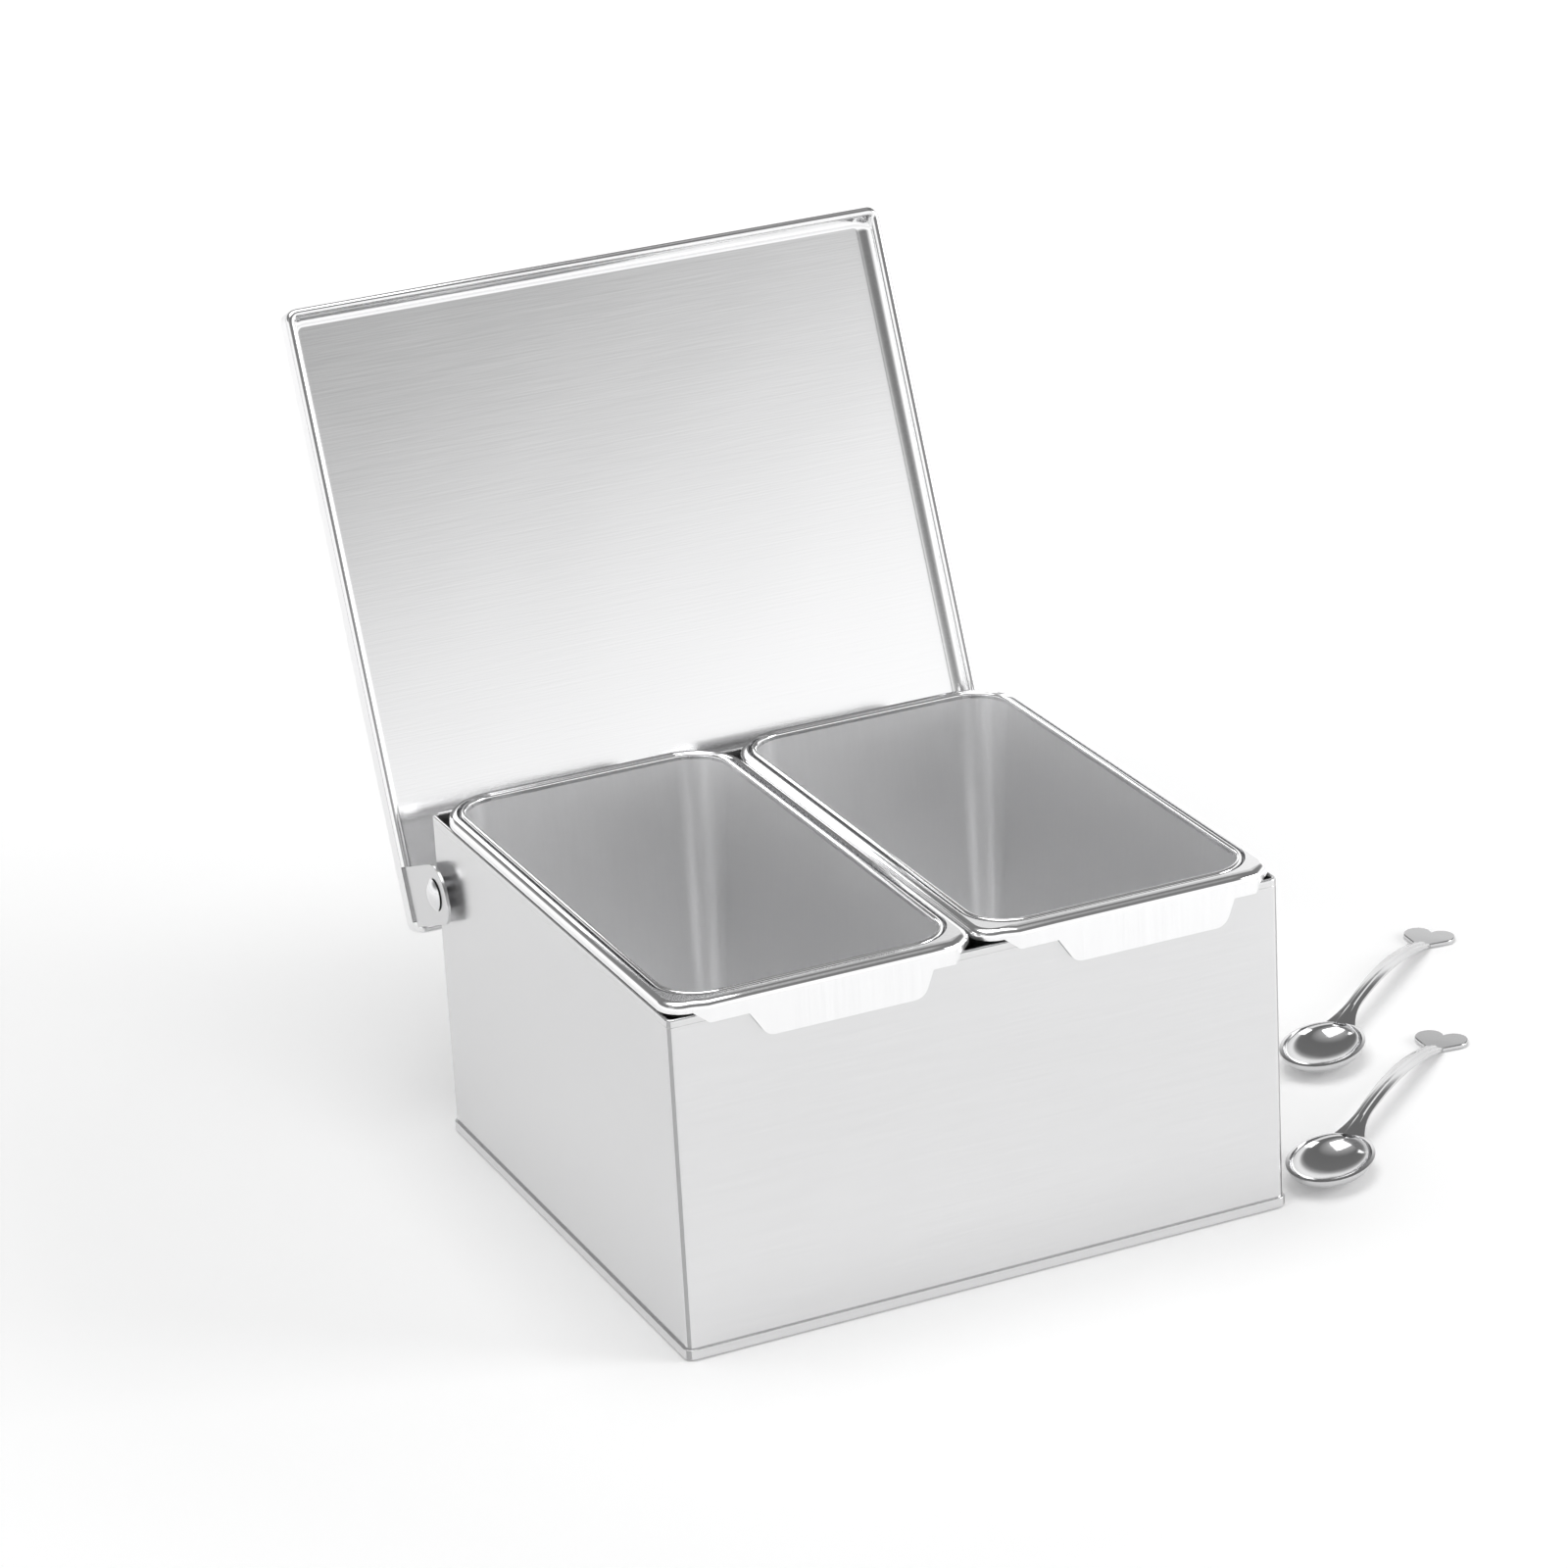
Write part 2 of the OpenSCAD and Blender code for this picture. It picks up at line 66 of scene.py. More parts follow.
# %% [markdown]
# ## Hand tools
#
# All sizes below are millimetres, as on a workshop drawing, and the tools turn them into
# metres. A section starts as one point. It grows by straight runs and by arcs, as a bent
# sheet does, and then the whole section is extruded along straight edges and spun round
# corners. Without a window Blender's spin and rotation turn the other way, so both helpers
# take the angle by the right-hand rule and change its sign.

# %% Hand tools
MM = 0.001
X_AXIS, Y_AXIS, Z_AXIS = (1, 0, 0), (0, 1, 0), (0, 0, 1)


def metres(x, y, z):
    return (x * MM, y * MM, z * MM)


def let_go():
    if bpy.context.mode != "OBJECT":
        bpy.ops.object.mode_set(mode="OBJECT")
    bpy.ops.object.select_all(action="DESELECT")


def first_point(name, x, y, z):
    let_go()
    bpy.ops.mesh.primitive_plane_add(size=2 * MM, enter_editmode=True, location=(0, 0, 0))
    piece = bpy.context.object
    piece.name = name
    piece.data.name = name
    bpy.ops.mesh.select_mode(type="VERT")
    bpy.ops.mesh.select_all(action="SELECT")
    bpy.ops.mesh.merge(type="CENTER")
    bpy.ops.transform.translate(value=metres(x, y, z))
    return piece


# %% [markdown]
# ### Runs, arcs and turns
#
# These are the moves of the drawing hand: a run adds one point to a section, a pull carries
# what is selected along a straight way, a spin carries it round an axis, and a turn only
# rotates it. Each works on what is selected and leaves its new end selected.

# %% Runs, arcs and turns
def run(x, y, z):
    bpy.ops.mesh.extrude_vertices_move(TRANSFORM_OT_translate={"value": metres(x, y, z)})


def pull(x, y, z):
    bpy.ops.mesh.extrude_region_move(TRANSFORM_OT_translate={"value": metres(x, y, z)})


def spin(degrees, axis, x, y, z, steps):
    bpy.ops.mesh.spin(steps=steps, angle=-math.radians(degrees), center=metres(x, y, z), axis=axis)


def turn(degrees, axis, x, y, z):
    bpy.ops.transform.rotate(value=-math.radians(degrees), orient_axis=axis,
                             center_override=metres(x, y, z))


def take_all():
    bpy.ops.mesh.select_all(action="SELECT")


def weld(distance=0.005):
    take_all()
    bpy.ops.mesh.remove_doubles(threshold=distance * MM)


def count(piece):
    return f"{piece.name}: {len(piece.data.vertices)} points, {len(piece.data.polygons)} faces"


# %% [markdown]
# ## Choosing by place
#
# By hand one clicks on edges and faces. In a script they are chosen by where they are, and
# faces by where they look too. The choice is made in object mode, where the mesh data is up
# to date, and then edit mode is entered again with that choice.

# %% Choosing by place
def pick_up(piece):
    let_go()
    piece.select_set(True)
    bpy.context.view_layer.objects.active = piece


def choose(piece, kind, test):
    pick_up(piece)
    bpy.ops.object.mode_set(mode="EDIT")
    bpy.ops.mesh.select_mode(type=kind)
    bpy.ops.mesh.select_all(action="DESELECT")
    bpy.ops.object.mode_set(mode="OBJECT")
    mesh = piece.data
    place = [v.co / MM for v in mesh.vertices]
    if kind == "FACE":
        picked = [f for f in mesh.polygons if test([place[i] for i in f.vertices], f.normal)]
    else:
        picked = [e for e in mesh.edges if test([place[i] for i in e.vertices])]
    for part in picked:
        part.select = True
    bpy.ops.object.mode_set(mode="EDIT")
    return len(picked)


def near(a, b, slack=0.02):
    return abs(a - b) < slack


def face_out(piece, x, y, z, towards):
    """Recalculates the normals, and flips them if the face nearest to the point looks away."""
    bpy.ops.object.mode_set(mode="EDIT")
    take_all()
    bpy.ops.mesh.normals_make_consistent(inside=False)
    bpy.ops.object.mode_set(mode="OBJECT")
    spot = metres(x, y, z)
    nearest = min(piece.data.polygons,
                  key=lambda f: sum((f.center[i] - spot[i]) ** 2 for i in range(3)))
    if sum(nearest.normal[i] * towards[i] for i in range(3)) < 0:
        bpy.ops.object.mode_set(mode="EDIT")
        take_all()
        bpy.ops.mesh.flip_normals()
        bpy.ops.object.mode_set(mode="OBJECT")


def join(name, *pieces):
    let_go()
    for piece in pieces:
        piece.select_set(True)
    bpy.context.view_layer.objects.active = pieces[0]
    bpy.ops.object.join()
    pieces[0].name = name
    pieces[0].data.name = name
    return pieces[0]


# %% [markdown]
# ## Sections and outlines
#
# A section lies in the upright plane across the front edge. Its first number, n, is the
# distance outwards from that edge, its second is the height. Corners may have another radius
# in front than at the rear, because the rims of the pans do.

# %% Sections and outlines
def draw(name, x, edge_y, n, z, moves):
    piece = first_point(name, x, edge_y - n, z)
    for move in moves:
        if move[0] == "run":
            run(0, -move[1], move[2])
        else:
            spin(-move[3], X_AXIS, x, edge_y - move[1], move[2], move[4])
    return piece


def carry_round(x0, x1, y0, y1, front_r, rear_r, steps):
    take_all()
    pull(x1 - x0 - 2 * front_r, 0, 0)
    spin(90, Z_AXIS, x1 - front_r, y0 + front_r, 0, steps)
    pull(0, y1 - y0 - front_r - rear_r, 0)
    spin(90, Z_AXIS, x1 - rear_r, y1 - rear_r, 0, steps)
    pull(-(x1 - x0 - 2 * rear_r), 0, 0)
    spin(90, Z_AXIS, x0 + rear_r, y1 - rear_r, 0, steps)
    pull(0, -(y1 - y0 - front_r - rear_r), 0)
    spin(90, Z_AXIS, x0 + front_r, y0 + front_r, 0, steps)
    weld()


# %% [markdown]
# ## Smooth bends on flat sheet
#
# Bent sheet is flat between its bends, and a mirror-like surface shows it at once if the
# shading of a bend bleeds into the flat. Shading is smooth up to 40 degrees, and a weighted
# normal then lets the large flat faces keep their own direction.

# %% Smooth bends on flat sheet
def smooth(piece, degrees=40):
    pick_up(piece)
    bpy.ops.object.shade_smooth_by_angle(angle=math.radians(degrees), keep_sharp_edges=True)
    bpy.ops.object.modifier_add(type="WEIGHTED_NORMAL")
    modifier = piece.modifiers[-1]
    modifier.mode = "FACE_AREA"
    modifier.weight = 60
    modifier.keep_sharp = True
    bpy.ops.object.modifier_apply(modifier=modifier.name)


def thicken(piece, sheet):
    pick_up(piece)
    bpy.ops.object.modifier_add(type="SOLIDIFY")
    modifier = piece.modifiers[-1]
    modifier.thickness = sheet * MM
    modifier.offset = -1
    modifier.use_even_offset = True
    modifier.use_quality_normals = True
    bpy.ops.object.modifier_apply(modifier=modifier.name)


# %% [markdown]
# ## The photograph's camera
#
# The lens and the place were worked out from the straight edges of the case: a long lens,
# about 1.7 m away, looking down at 22 degrees and rolled by 3 degrees. The camera comes
# early, so that each piece can be looked at as soon as it is made.

# %% Camera
bpy.ops.object.camera_add(location=metres(-642.53, -1423.97, 754.26),
                          rotation=[math.radians(a) for a in (68.1916, 2.9695, -24.839)])
camera = bpy.context.object
camera.name = "camera"
camera.data.lens = 126.67
camera.data.sensor_width = 36
camera.data.clip_end = 20
bpy.context.scene.camera = camera
print("camera at", [round(c, 3) for c in camera.location])

# %% [markdown]
# ## Case walls
#
# The real case is one sheet folded into four walls, with its top edge folded inwards into a
# hem. A box primitive with a bevel could stand in for it, but then the hem would be missing,
# and the hem is what catches the light along the top. So the closed section of wall and hem
# is drawn and carried round. The small notch in it is the end of the hem, which shows as a
# fine line 2.5 mm below the top.

# %% Case walls
CASE_X, CASE_Y, CASE_TOP = 100, 92.5, 109
CASE_R, SHEET = 2.5, 0.8
LINE_Z, LINE_DEEP, LINE_HALF = 106.5, 0.1, 0.12
FOLD_R, FOLD_LOW, FOLD_END_R = 0.7, 106.9, 0.3

case_walls = draw("case_walls", -CASE_X + CASE_R, -CASE_Y, 0, SHEET, [
    ("run", 0, LINE_Z - SHEET),
    ("run", -LINE_DEEP, LINE_HALF),
    ("run", LINE_DEEP, LINE_HALF),
    ("run", 0, CASE_TOP - FOLD_R - LINE_Z - 2 * LINE_HALF),
    ("arc", -FOLD_R, CASE_TOP - FOLD_R, 180, 8),
    ("run", 0, FOLD_LOW - CASE_TOP + FOLD_R),
    ("arc", -2 * FOLD_R + FOLD_END_R, FOLD_LOW, 90, 3),
    ("run", 2 * FOLD_R - FOLD_END_R - SHEET, 0),
    ("run", 0, SHEET - FOLD_LOW + FOLD_END_R),
    ("run", SHEET, 0),
])
weld()
carry_round(-CASE_X, CASE_X, -CASE_Y, CASE_Y, CASE_R, CASE_R, 6)
face_out(case_walls, 0, -CASE_Y, 50, (0, -1, 0))
smooth(case_walls)
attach(case_walls, "case")
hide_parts("case_shell")
print(count(case_walls))

# %% [markdown]
# ## Case bottom
#
# A flat plate whose edge turns up outside the walls. The section runs out along the
# underside, round the bend, over the edge of the lip and back along the upper side, and the
# two loops that are left open in the middle are closed with one flat face each.

# %% Case bottom
PLATE_IN, BASE_LIP_Z, BASE_LIP_R, BASE_GAP = -2.4, 3.5, 0.3, 0.02
case_bottom = draw("case_bottom", -CASE_X + CASE_R, -CASE_Y, PLATE_IN, 0, [
    ("run", -PLATE_IN, 0),
    ("arc", 0, SHEET, 90, 4),
    ("run", 0, BASE_LIP_Z - BASE_LIP_R - SHEET),
    ("arc", SHEET - BASE_LIP_R, BASE_LIP_Z - BASE_LIP_R, 90, 3),
    ("run", BASE_LIP_R + BASE_GAP - SHEET, 0),
    ("run", 0, SHEET - BASE_LIP_Z),
    ("run", PLATE_IN - BASE_GAP, 0),
])
carry_round(-CASE_X, CASE_X, -CASE_Y, CASE_Y, CASE_R, CASE_R, 6)
for level in (0, SHEET):
    choose(case_bottom, "EDGE", lambda ends: all(
        near(p.z, level) and abs(p.x) < CASE_X + PLATE_IN + 0.02
        and abs(p.y) < CASE_Y + PLATE_IN + 0.02 for p in ends))
    bpy.ops.mesh.edge_face_add()
face_out(case_bottom, 0, 0, 0, (0, 0, -1))
smooth(case_bottom)
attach(case_bottom, "case")
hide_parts("case_base")
print(count(case_bottom))

# %% [markdown]
# ## Pans
#
# A pan is drawn from one sheet: a floor, walls that lean in a little, a raised bead round the
# opening, a groove outside it, and an edge that rolls over and stands on the case. The
# corners of the opening and of the outer edge have different centres, so two sections are
# carried round two outlines, and the flat strip between them is filled. In front the edge
# reaches over the wall and turns down into an apron, and the apron carries a pull tab.
#
# The pan is drawn about its own middle and moved to its side of the case at the end. The
# second pan is a copy with a mesh of its own.

# %% Pan sizes
PAN_X, PAN_Y = 49.7, 92.2
OPEN_X, OPEN_Y, OPEN_R = 44.2, 86.7, 13
FRONT_R, REAR_R = 8, 19
FLAT_Z, BODY_TOP = 112.9, 111.3
GROOVE_N, BEAD_R, BEAD_Z = 2.8, 0.925, 112.3
DRAFT, FLOOR_R, TURN_Z = 5, 8, 24.1
EDGE_R = 2.2
FLAT_N = -2.4
APRON_OUT, APRON_Z = 1.6, 106.3

# %% [markdown]
# ### The body of a pan
#
# One section from the flat strip through the groove and over the bead, down the wall and
# round the floor. The first four short runs are the groove. The section ends on the axis of
# the corner, so the spin closes the corner by itself, and one flat face is left for the
# floor.

# %% Pan body
pan_body = draw("pan_body", -OPEN_X + OPEN_R, -OPEN_Y, GROOVE_N, FLAT_Z, [
    ("run", -0.15, -0.55),
    ("run", -0.2, -0.35),
    ("run", -0.45, -0.1),
    ("run", -0.15, 0.4),
    ("arc", BEAD_R, BEAD_Z, 180, 10),
    ("run", 0, BODY_TOP - BEAD_Z),
    ("run", -DRAFT, TURN_Z - BODY_TOP),
    ("arc", -DRAFT - FLOOR_R, TURN_Z, -90, 7),
])
carry_round(-OPEN_X, OPEN_X, -OPEN_Y, OPEN_Y, OPEN_R, OPEN_R, 14)
choose(pan_body, "EDGE", lambda ends: all(near(p.z, TURN_Z - FLOOR_R) for p in ends))
bpy.ops.mesh.edge_face_add()
bpy.ops.object.mode_set(mode="OBJECT")
print(count(pan_body))

# %% [markdown]
# ### The edge of a pan
#
# The lip and its rounded shoulder start at the left end of the front, go round by the rear,
# and stop halfway round the front right corner, where the apron takes over.

# %% Pan edge
END_TURN, LIP_Z = 50, 109.7
pan_edge = draw("pan_edge", -PAN_X + FRONT_R, -PAN_Y, 0, LIP_Z, [
    ("run", 0, FLAT_Z - EDGE_R - LIP_Z),
    ("arc", -EDGE_R, FLAT_Z - EDGE_R, 90, 6),
    ("run", FLAT_N + EDGE_R, 0),
])
take_all()
spin(-90, Z_AXIS, -PAN_X + FRONT_R, -PAN_Y + FRONT_R, 0, 9)
pull(0, 2 * PAN_Y - FRONT_R - REAR_R, 0)
spin(-90, Z_AXIS, -PAN_X + REAR_R, PAN_Y - REAR_R, 0, 14)
pull(2 * PAN_X - 2 * REAR_R, 0, 0)
spin(-90, Z_AXIS, PAN_X - REAR_R, PAN_Y - REAR_R, 0, 14)
pull(0, -(2 * PAN_Y - FRONT_R - REAR_R), 0)
spin(-END_TURN, Z_AXIS, PAN_X - FRONT_R, -PAN_Y + FRONT_R, 0, 6)
weld()
bpy.ops.object.mode_set(mode="OBJECT")
print(count(pan_edge))

# %% [markdown]
# ### Apron and pull tab
#
# The apron has the same number of points in its section as the lip, so that the two can be
# bridged: that bridge is the crease where the real sheet leaves the wall top and steps out.
# The tab is a flat outline with rounded lower corners below the apron's edge. Its two ends
# slope at their own angles, so the place where each corner's arc begins is worked out.

# %% Apron and tab
APRON_X0, APRON_X1 = -37.2, 41.5
TAB_X0, TAB_X1 = -24.75, 34.25
TAB_LOW_X0, TAB_LOW_X1, TAB_Z, TAB_R = -19.25, 31, 98, 4.5
apron = draw("apron", APRON_X0, -PAN_Y, APRON_OUT, APRON_Z, [
    ("run", 0, FLAT_Z - EDGE_R - APRON_Z),
    ("arc", APRON_OUT - EDGE_R, FLAT_Z - EDGE_R, 90, 6),
    ("run", FLAT_N - APRON_OUT + EDGE_R, 0),
])
take_all()
for x in (TAB_X0 - APRON_X0, TAB_X1 - TAB_X0, APRON_X1 - TAB_X1):
    pull(x, 0, 0)
bpy.ops.object.mode_set(mode="OBJECT")

slope_left = math.atan2(APRON_Z - TAB_Z, TAB_X0 - TAB_LOW_X0)
slope_right = math.atan2(APRON_Z - TAB_Z, TAB_X1 - TAB_LOW_X1)
cut_left = TAB_R * math.tan((math.pi - slope_left) / 2)
cut_right = TAB_R * math.tan(slope_right / 2)
left_x = TAB_LOW_X0 + cut_left * math.cos(slope_left)
left_z = TAB_Z + cut_left * math.sin(slope_left)
right_x = TAB_LOW_X1 + cut_right * math.cos(slope_right)
right_z = TAB_Z + cut_right * math.sin(slope_right)
tab_y = -PAN_Y - APRON_OUT
tab = first_point("tab", TAB_X0, tab_y, APRON_Z)
run(left_x - TAB_X0, 0, left_z - APRON_Z)
spin(-math.degrees(math.pi - slope_left), Y_AXIS, TAB_LOW_X0 + cut_left, tab_y, TAB_Z + TAB_R, 5)
run(TAB_LOW_X1 - cut_right - TAB_LOW_X0 - cut_left, 0, 0)
spin(-math.degrees(slope_right), Y_AXIS, TAB_LOW_X1 - cut_right, tab_y, TAB_Z + TAB_R, 5)
run(TAB_X1 - right_x, 0, APRON_Z - right_z)
take_all()
bpy.ops.mesh.edge_face_add()
bpy.ops.object.mode_set(mode="OBJECT")
print(count(apron), "/", count(tab))

# %% [markdown]
# ### One sheet
#
# The four forms become one mesh. The ends of lip and apron are bridged, the flat strip round
# the opening is filled between its two loops, and only then does the sheet get its 0.8 mm.
# The left end of the lip is found by its x, and the right end by its angle in the corner.

# %% One sheet
pan = join("pan", pan_body, pan_edge, apron, tab)
bpy.ops.object.mode_set(mode="EDIT")
weld()
corner_x, corner_y = PAN_X - FRONT_R, -PAN_Y + FRONT_R
bridges = (
    (lambda p: near(p.x, -corner_x), lambda p: near(p.x, APRON_X0)),
    (lambda p: near(math.degrees(math.atan2(p.y - corner_y, p.x - corner_x)), -END_TURN, 0.1),
     lambda p: near(p.x, APRON_X1)))
for lip_end, apron_end in bridges:
    found = choose(pan, "EDGE", lambda ends: all(
        p.y < -OPEN_Y and APRON_Z - 0.1 < p.z < FLAT_Z + 0.1 for p in ends)
        and (all(lip_end(p) for p in ends) or all(apron_end(p) for p in ends)))
    print("edges to bridge:", found)
    bpy.ops.mesh.bridge_edge_loops()
choose(pan, "EDGE", lambda ends: False)
bpy.ops.mesh.select_non_manifold(extend=False, use_wire=False, use_boundary=True,
                                 use_multi_face=False, use_non_contiguous=False, use_verts=False)
bpy.ops.object.mode_set(mode="OBJECT")
boundary = {e.index for e in pan.data.edges if e.select}
place = [v.co / MM for v in pan.data.vertices]
for edge in pan.data.edges:
    edge.select = edge.index in boundary and all(near(place[i].z, FLAT_Z) for i in edge.vertices)
bpy.ops.object.mode_set(mode="EDIT")
bpy.ops.mesh.fill(use_beauty=True)
face_out(pan, 0, 0, TURN_Z - FLOOR_R, (0, 0, 1))
thicken(pan, SHEET)
smooth(pan, 32)
print(count(pan))

# %% [markdown]
# ### Two pans
#
# Both pans come from the same tool, so the second is a copy of the first, tab and all, and
# not its mirror image. Each is moved to its side in edit mode, which leaves the object itself
# at the origin.

# %% Two pans
PAN_APART = 50
pick_up(pan)
bpy.ops.object.duplicate(linked=False)
pan_pair = {"left": pan, "right": bpy.context.object}
for side, shift in (("left", -PAN_APART), ("right", PAN_APART)):
    piece = pan_pair[side]
    pick_up(piece)
    piece.name = "pan_sheet_" + side
    piece.data.name = piece.name
    bpy.ops.object.mode_set(mode="EDIT")
    take_all()
    bpy.ops.transform.translate(value=metres(shift, 0, 0))
    bpy.ops.object.mode_set(mode="OBJECT")
    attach(piece, "pan_" + side + "_body")
    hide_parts("pan_" + side)
    print(count(piece))

# %% [markdown]
# ## Lid
#
# The lid is a shallow pan of its own, turned over. It is drawn closed, about the hinge axis,
# and laid back by its 112 degrees at the end: flat sizes are easier to trust than tilted
# ones. The rolled hem is a bead along the edge of the flange. It stops at each ear, where the
# real hem is cut away to let the ear pass. All sizes are counted from the hinge axis.

# %% Lid sizes
PIVOT_Y, PIVOT_Z, LID_OPEN = 84, 85.2, 112
LID_X, LID_REAR, LID_FRONT, LID_TOP, LID_RIM = 104.5, 12, -190.5, 33, 24
LID_R, BEND_R, INNER_R, HEM_R = 4, 2, 5, 1.5
EAR_R = 9.7
NOTCH = (-EAR_R - 0.3, LID_REAR - LID_R)


def hinge_pose(piece):
    pick_up(piece)
    bpy.ops.object.mode_set(mode="EDIT")
    take_all()
    turn(-LID_OPEN, "X", 0, 0, 0)
    bpy.ops.transform.translate(value=metres(0, PIVOT_Y, PIVOT_Z))
    bpy.ops.object.mode_set(mode="OBJECT")


# %% [markdown]
# ### Panel and flange
#
# The outside has a tight bend. Inside, the drawn sheet is thicker in its corner, which gives
# the broad light band round the panel. So the two skins are drawn one by one, bridged at the
# hem, and each gets its flat face.

# %% Panel and flange
HEM_Z = LID_RIM + HEM_R
outside = draw("lid_outside", -LID_X + LID_R, LID_FRONT, -BEND_R, LID_TOP, [
    ("arc", -BEND_R, LID_TOP - BEND_R, -90, 7),
    ("run", 0, HEM_Z - LID_TOP + BEND_R),
])
carry_round(-LID_X, LID_X, LID_FRONT, LID_REAR, LID_R, LID_R, 8)
bpy.ops.object.mode_set(mode="OBJECT")
INSIDE_R = SHEET + INNER_R + 1.4
inside = draw("lid_inside", -LID_X + INSIDE_R, LID_FRONT, -SHEET, HEM_Z, [
    ("run", 0, LID_TOP - SHEET - INNER_R - HEM_Z),
    ("arc", -SHEET - INNER_R, LID_TOP - SHEET - INNER_R, 90, 8),
])
carry_round(-LID_X, LID_X, LID_FRONT, LID_REAR, INSIDE_R, INSIDE_R, 8)
bpy.ops.object.mode_set(mode="OBJECT")
lid_sheet = join("lid_sheet", outside, inside)
choose(lid_sheet, "EDGE", lambda ends: all(near(p.z, HEM_Z) for p in ends))
bpy.ops.mesh.bridge_edge_loops()
for level in (LID_TOP, LID_TOP - SHEET):
    choose(lid_sheet, "EDGE", lambda ends: all(near(p.z, level) for p in ends))
    bpy.ops.mesh.edge_face_add()
face_out(lid_sheet, 0, -90, LID_TOP, (0, 0, 1))
print(count(lid_sheet))


# %% [markdown]
# ### Rolled hem
#
# A small circle of 3 mm is carried along the flange in two lengths: one round the rear
# edge, between the ears, and a long one round the front. The ends are closed.

# %% Rolled hem
def hem_circle(name, x, y):
    piece = first_point(name, x, y, LID_RIM)
    spin(360, Y_AXIS, x, y, LID_RIM + HEM_R, 14)
    weld(0.002)
    return piece


rear_hem = hem_circle("rear_hem", LID_X - HEM_R, NOTCH[1])
take_all()
spin(90, Z_AXIS, LID_X - LID_R, LID_REAR - LID_R, 0, 7)
pull(-2 * (LID_X - LID_R), 0, 0)
spin(90, Z_AXIS, -LID_X + LID_R, LID_REAR - LID_R, 0, 7)
bpy.ops.object.mode_set(mode="OBJECT")
front_hem = hem_circle("front_hem", LID_X - HEM_R, NOTCH[0])
take_all()
pull(0, LID_FRONT + LID_R - NOTCH[0], 0)
spin(-90, Z_AXIS, LID_X - LID_R, LID_FRONT + LID_R, 0, 7)
pull(-2 * (LID_X - LID_R), 0, 0)
spin(-90, Z_AXIS, -LID_X + LID_R, LID_FRONT + LID_R, 0, 7)
pull(0, NOTCH[0] - LID_FRONT - LID_R, 0)
bpy.ops.object.mode_set(mode="OBJECT")
for hem in (rear_hem, front_hem):
    pick_up(hem)
    bpy.ops.object.mode_set(mode="EDIT")
    bpy.ops.mesh.select_mode(type="EDGE")
    bpy.ops.mesh.select_all(action="DESELECT")
    bpy.ops.mesh.select_non_manifold(extend=False, use_wire=False, use_boundary=True,
                                     use_multi_face=False, use_non_contiguous=False,
                                     use_verts=False)
    bpy.ops.mesh.edge_face_add()
    take_all()
    bpy.ops.mesh.normals_make_consistent(inside=False)
    bpy.ops.object.mode_set(mode="OBJECT")
    print(count(hem))
lid = join("lid_steel", lid_sheet, rear_hem, front_hem)
hinge_pose(lid)
smooth(lid)
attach(lid, "lid_body")
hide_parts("lid")
print(count(lid))

# %% [markdown]
# ## Hinge ears
#
# Two flat plates, fixed inside the side flanges. The outline is drawn with runs and arcs, the
# bore is a second loop, and the fill leaves the bore open. The plate is then pulled to 1.2 mm
# and its edges get the small rounding of a tumbled stamping. Only edges between a flat side
# and the rim are rounded, and not the ones of the bore.

# %% Hinge ears
EAR_IN, EAR_T, HEEL_R = 102.5, 1.2, 6
EAR_FOOT_TOP, EAR_FOOT_REAR = 30.7, 7.7
EAR_HEM_LOW = LID_RIM - 0.3
BORE_R, EAR_SOFT = 2.27, 0.25


def hinge_ear(name, x):
    plate = first_point(name, x, -EAR_R, 0)
    run(0, 0, EAR_FOOT_TOP)
    run(0, EAR_R + EAR_FOOT_REAR, 0)
    run(0, 0, EAR_HEM_LOW - EAR_FOOT_TOP)
    run(0, EAR_R - EAR_FOOT_REAR, 0)
    run(0, 0, -EAR_HEM_LOW - EAR_R + HEEL_R)
    spin(-90, X_AXIS, x, EAR_R - HEEL_R, HEEL_R - EAR_R, 8)
    run(0, HEEL_R - EAR_R, 0)
    spin(-90, X_AXIS, x, 0, 0, 12)
    weld(0.002)
    bpy.ops.object.mode_set(mode="OBJECT")
    bore = first_point(name + "_bore", x, 0, BORE_R)
    spin(360, X_AXIS, x, 0, 0, 32)
    weld(0.002)
    bpy.ops.object.mode_set(mode="OBJECT")
    plate = join(name, plate, bore)
    bpy.ops.object.mode_set(mode="EDIT")
    bpy.ops.mesh.select_mode(type="EDGE")
    take_all()
    bpy.ops.mesh.fill(use_beauty=True)
    take_all()
    pull(EAR_T, 0, 0)
    weld(0.002)
    bpy.ops.mesh.normals_make_consistent(inside=False)
    bpy.ops.object.mode_set(mode="OBJECT")
    choose(plate, "EDGE", lambda ends: near(ends[0].x, ends[1].x)
           and all(math.hypot(p.y, p.z) > BORE_R + 1 for p in ends))
    bpy.ops.object.mode_set(mode="OBJECT")
    sides = {}
    for face in plate.data.polygons:
        for key in face.edge_keys:
            sides.setdefault(key, set()).add(abs(face.normal.x) > 0.9)
    for edge in plate.data.edges:
        edge.select = edge.select and len(sides[tuple(sorted(edge.vertices))]) == 2
    bpy.ops.object.mode_set(mode="EDIT")
    bpy.ops.mesh.bevel(offset=EAR_SOFT * MM, segments=3, affect="EDGES")
    bpy.ops.object.mode_set(mode="OBJECT")
    return plate


for side, x in (("left", -EAR_IN - EAR_T), ("right", EAR_IN)):
    ear = hinge_ear("hinge_ear_" + side, x)
    hinge_pose(ear)
    smooth(ear)
    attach(ear, "lid_body")
    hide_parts("ear_" + side)
    print(count(ear))

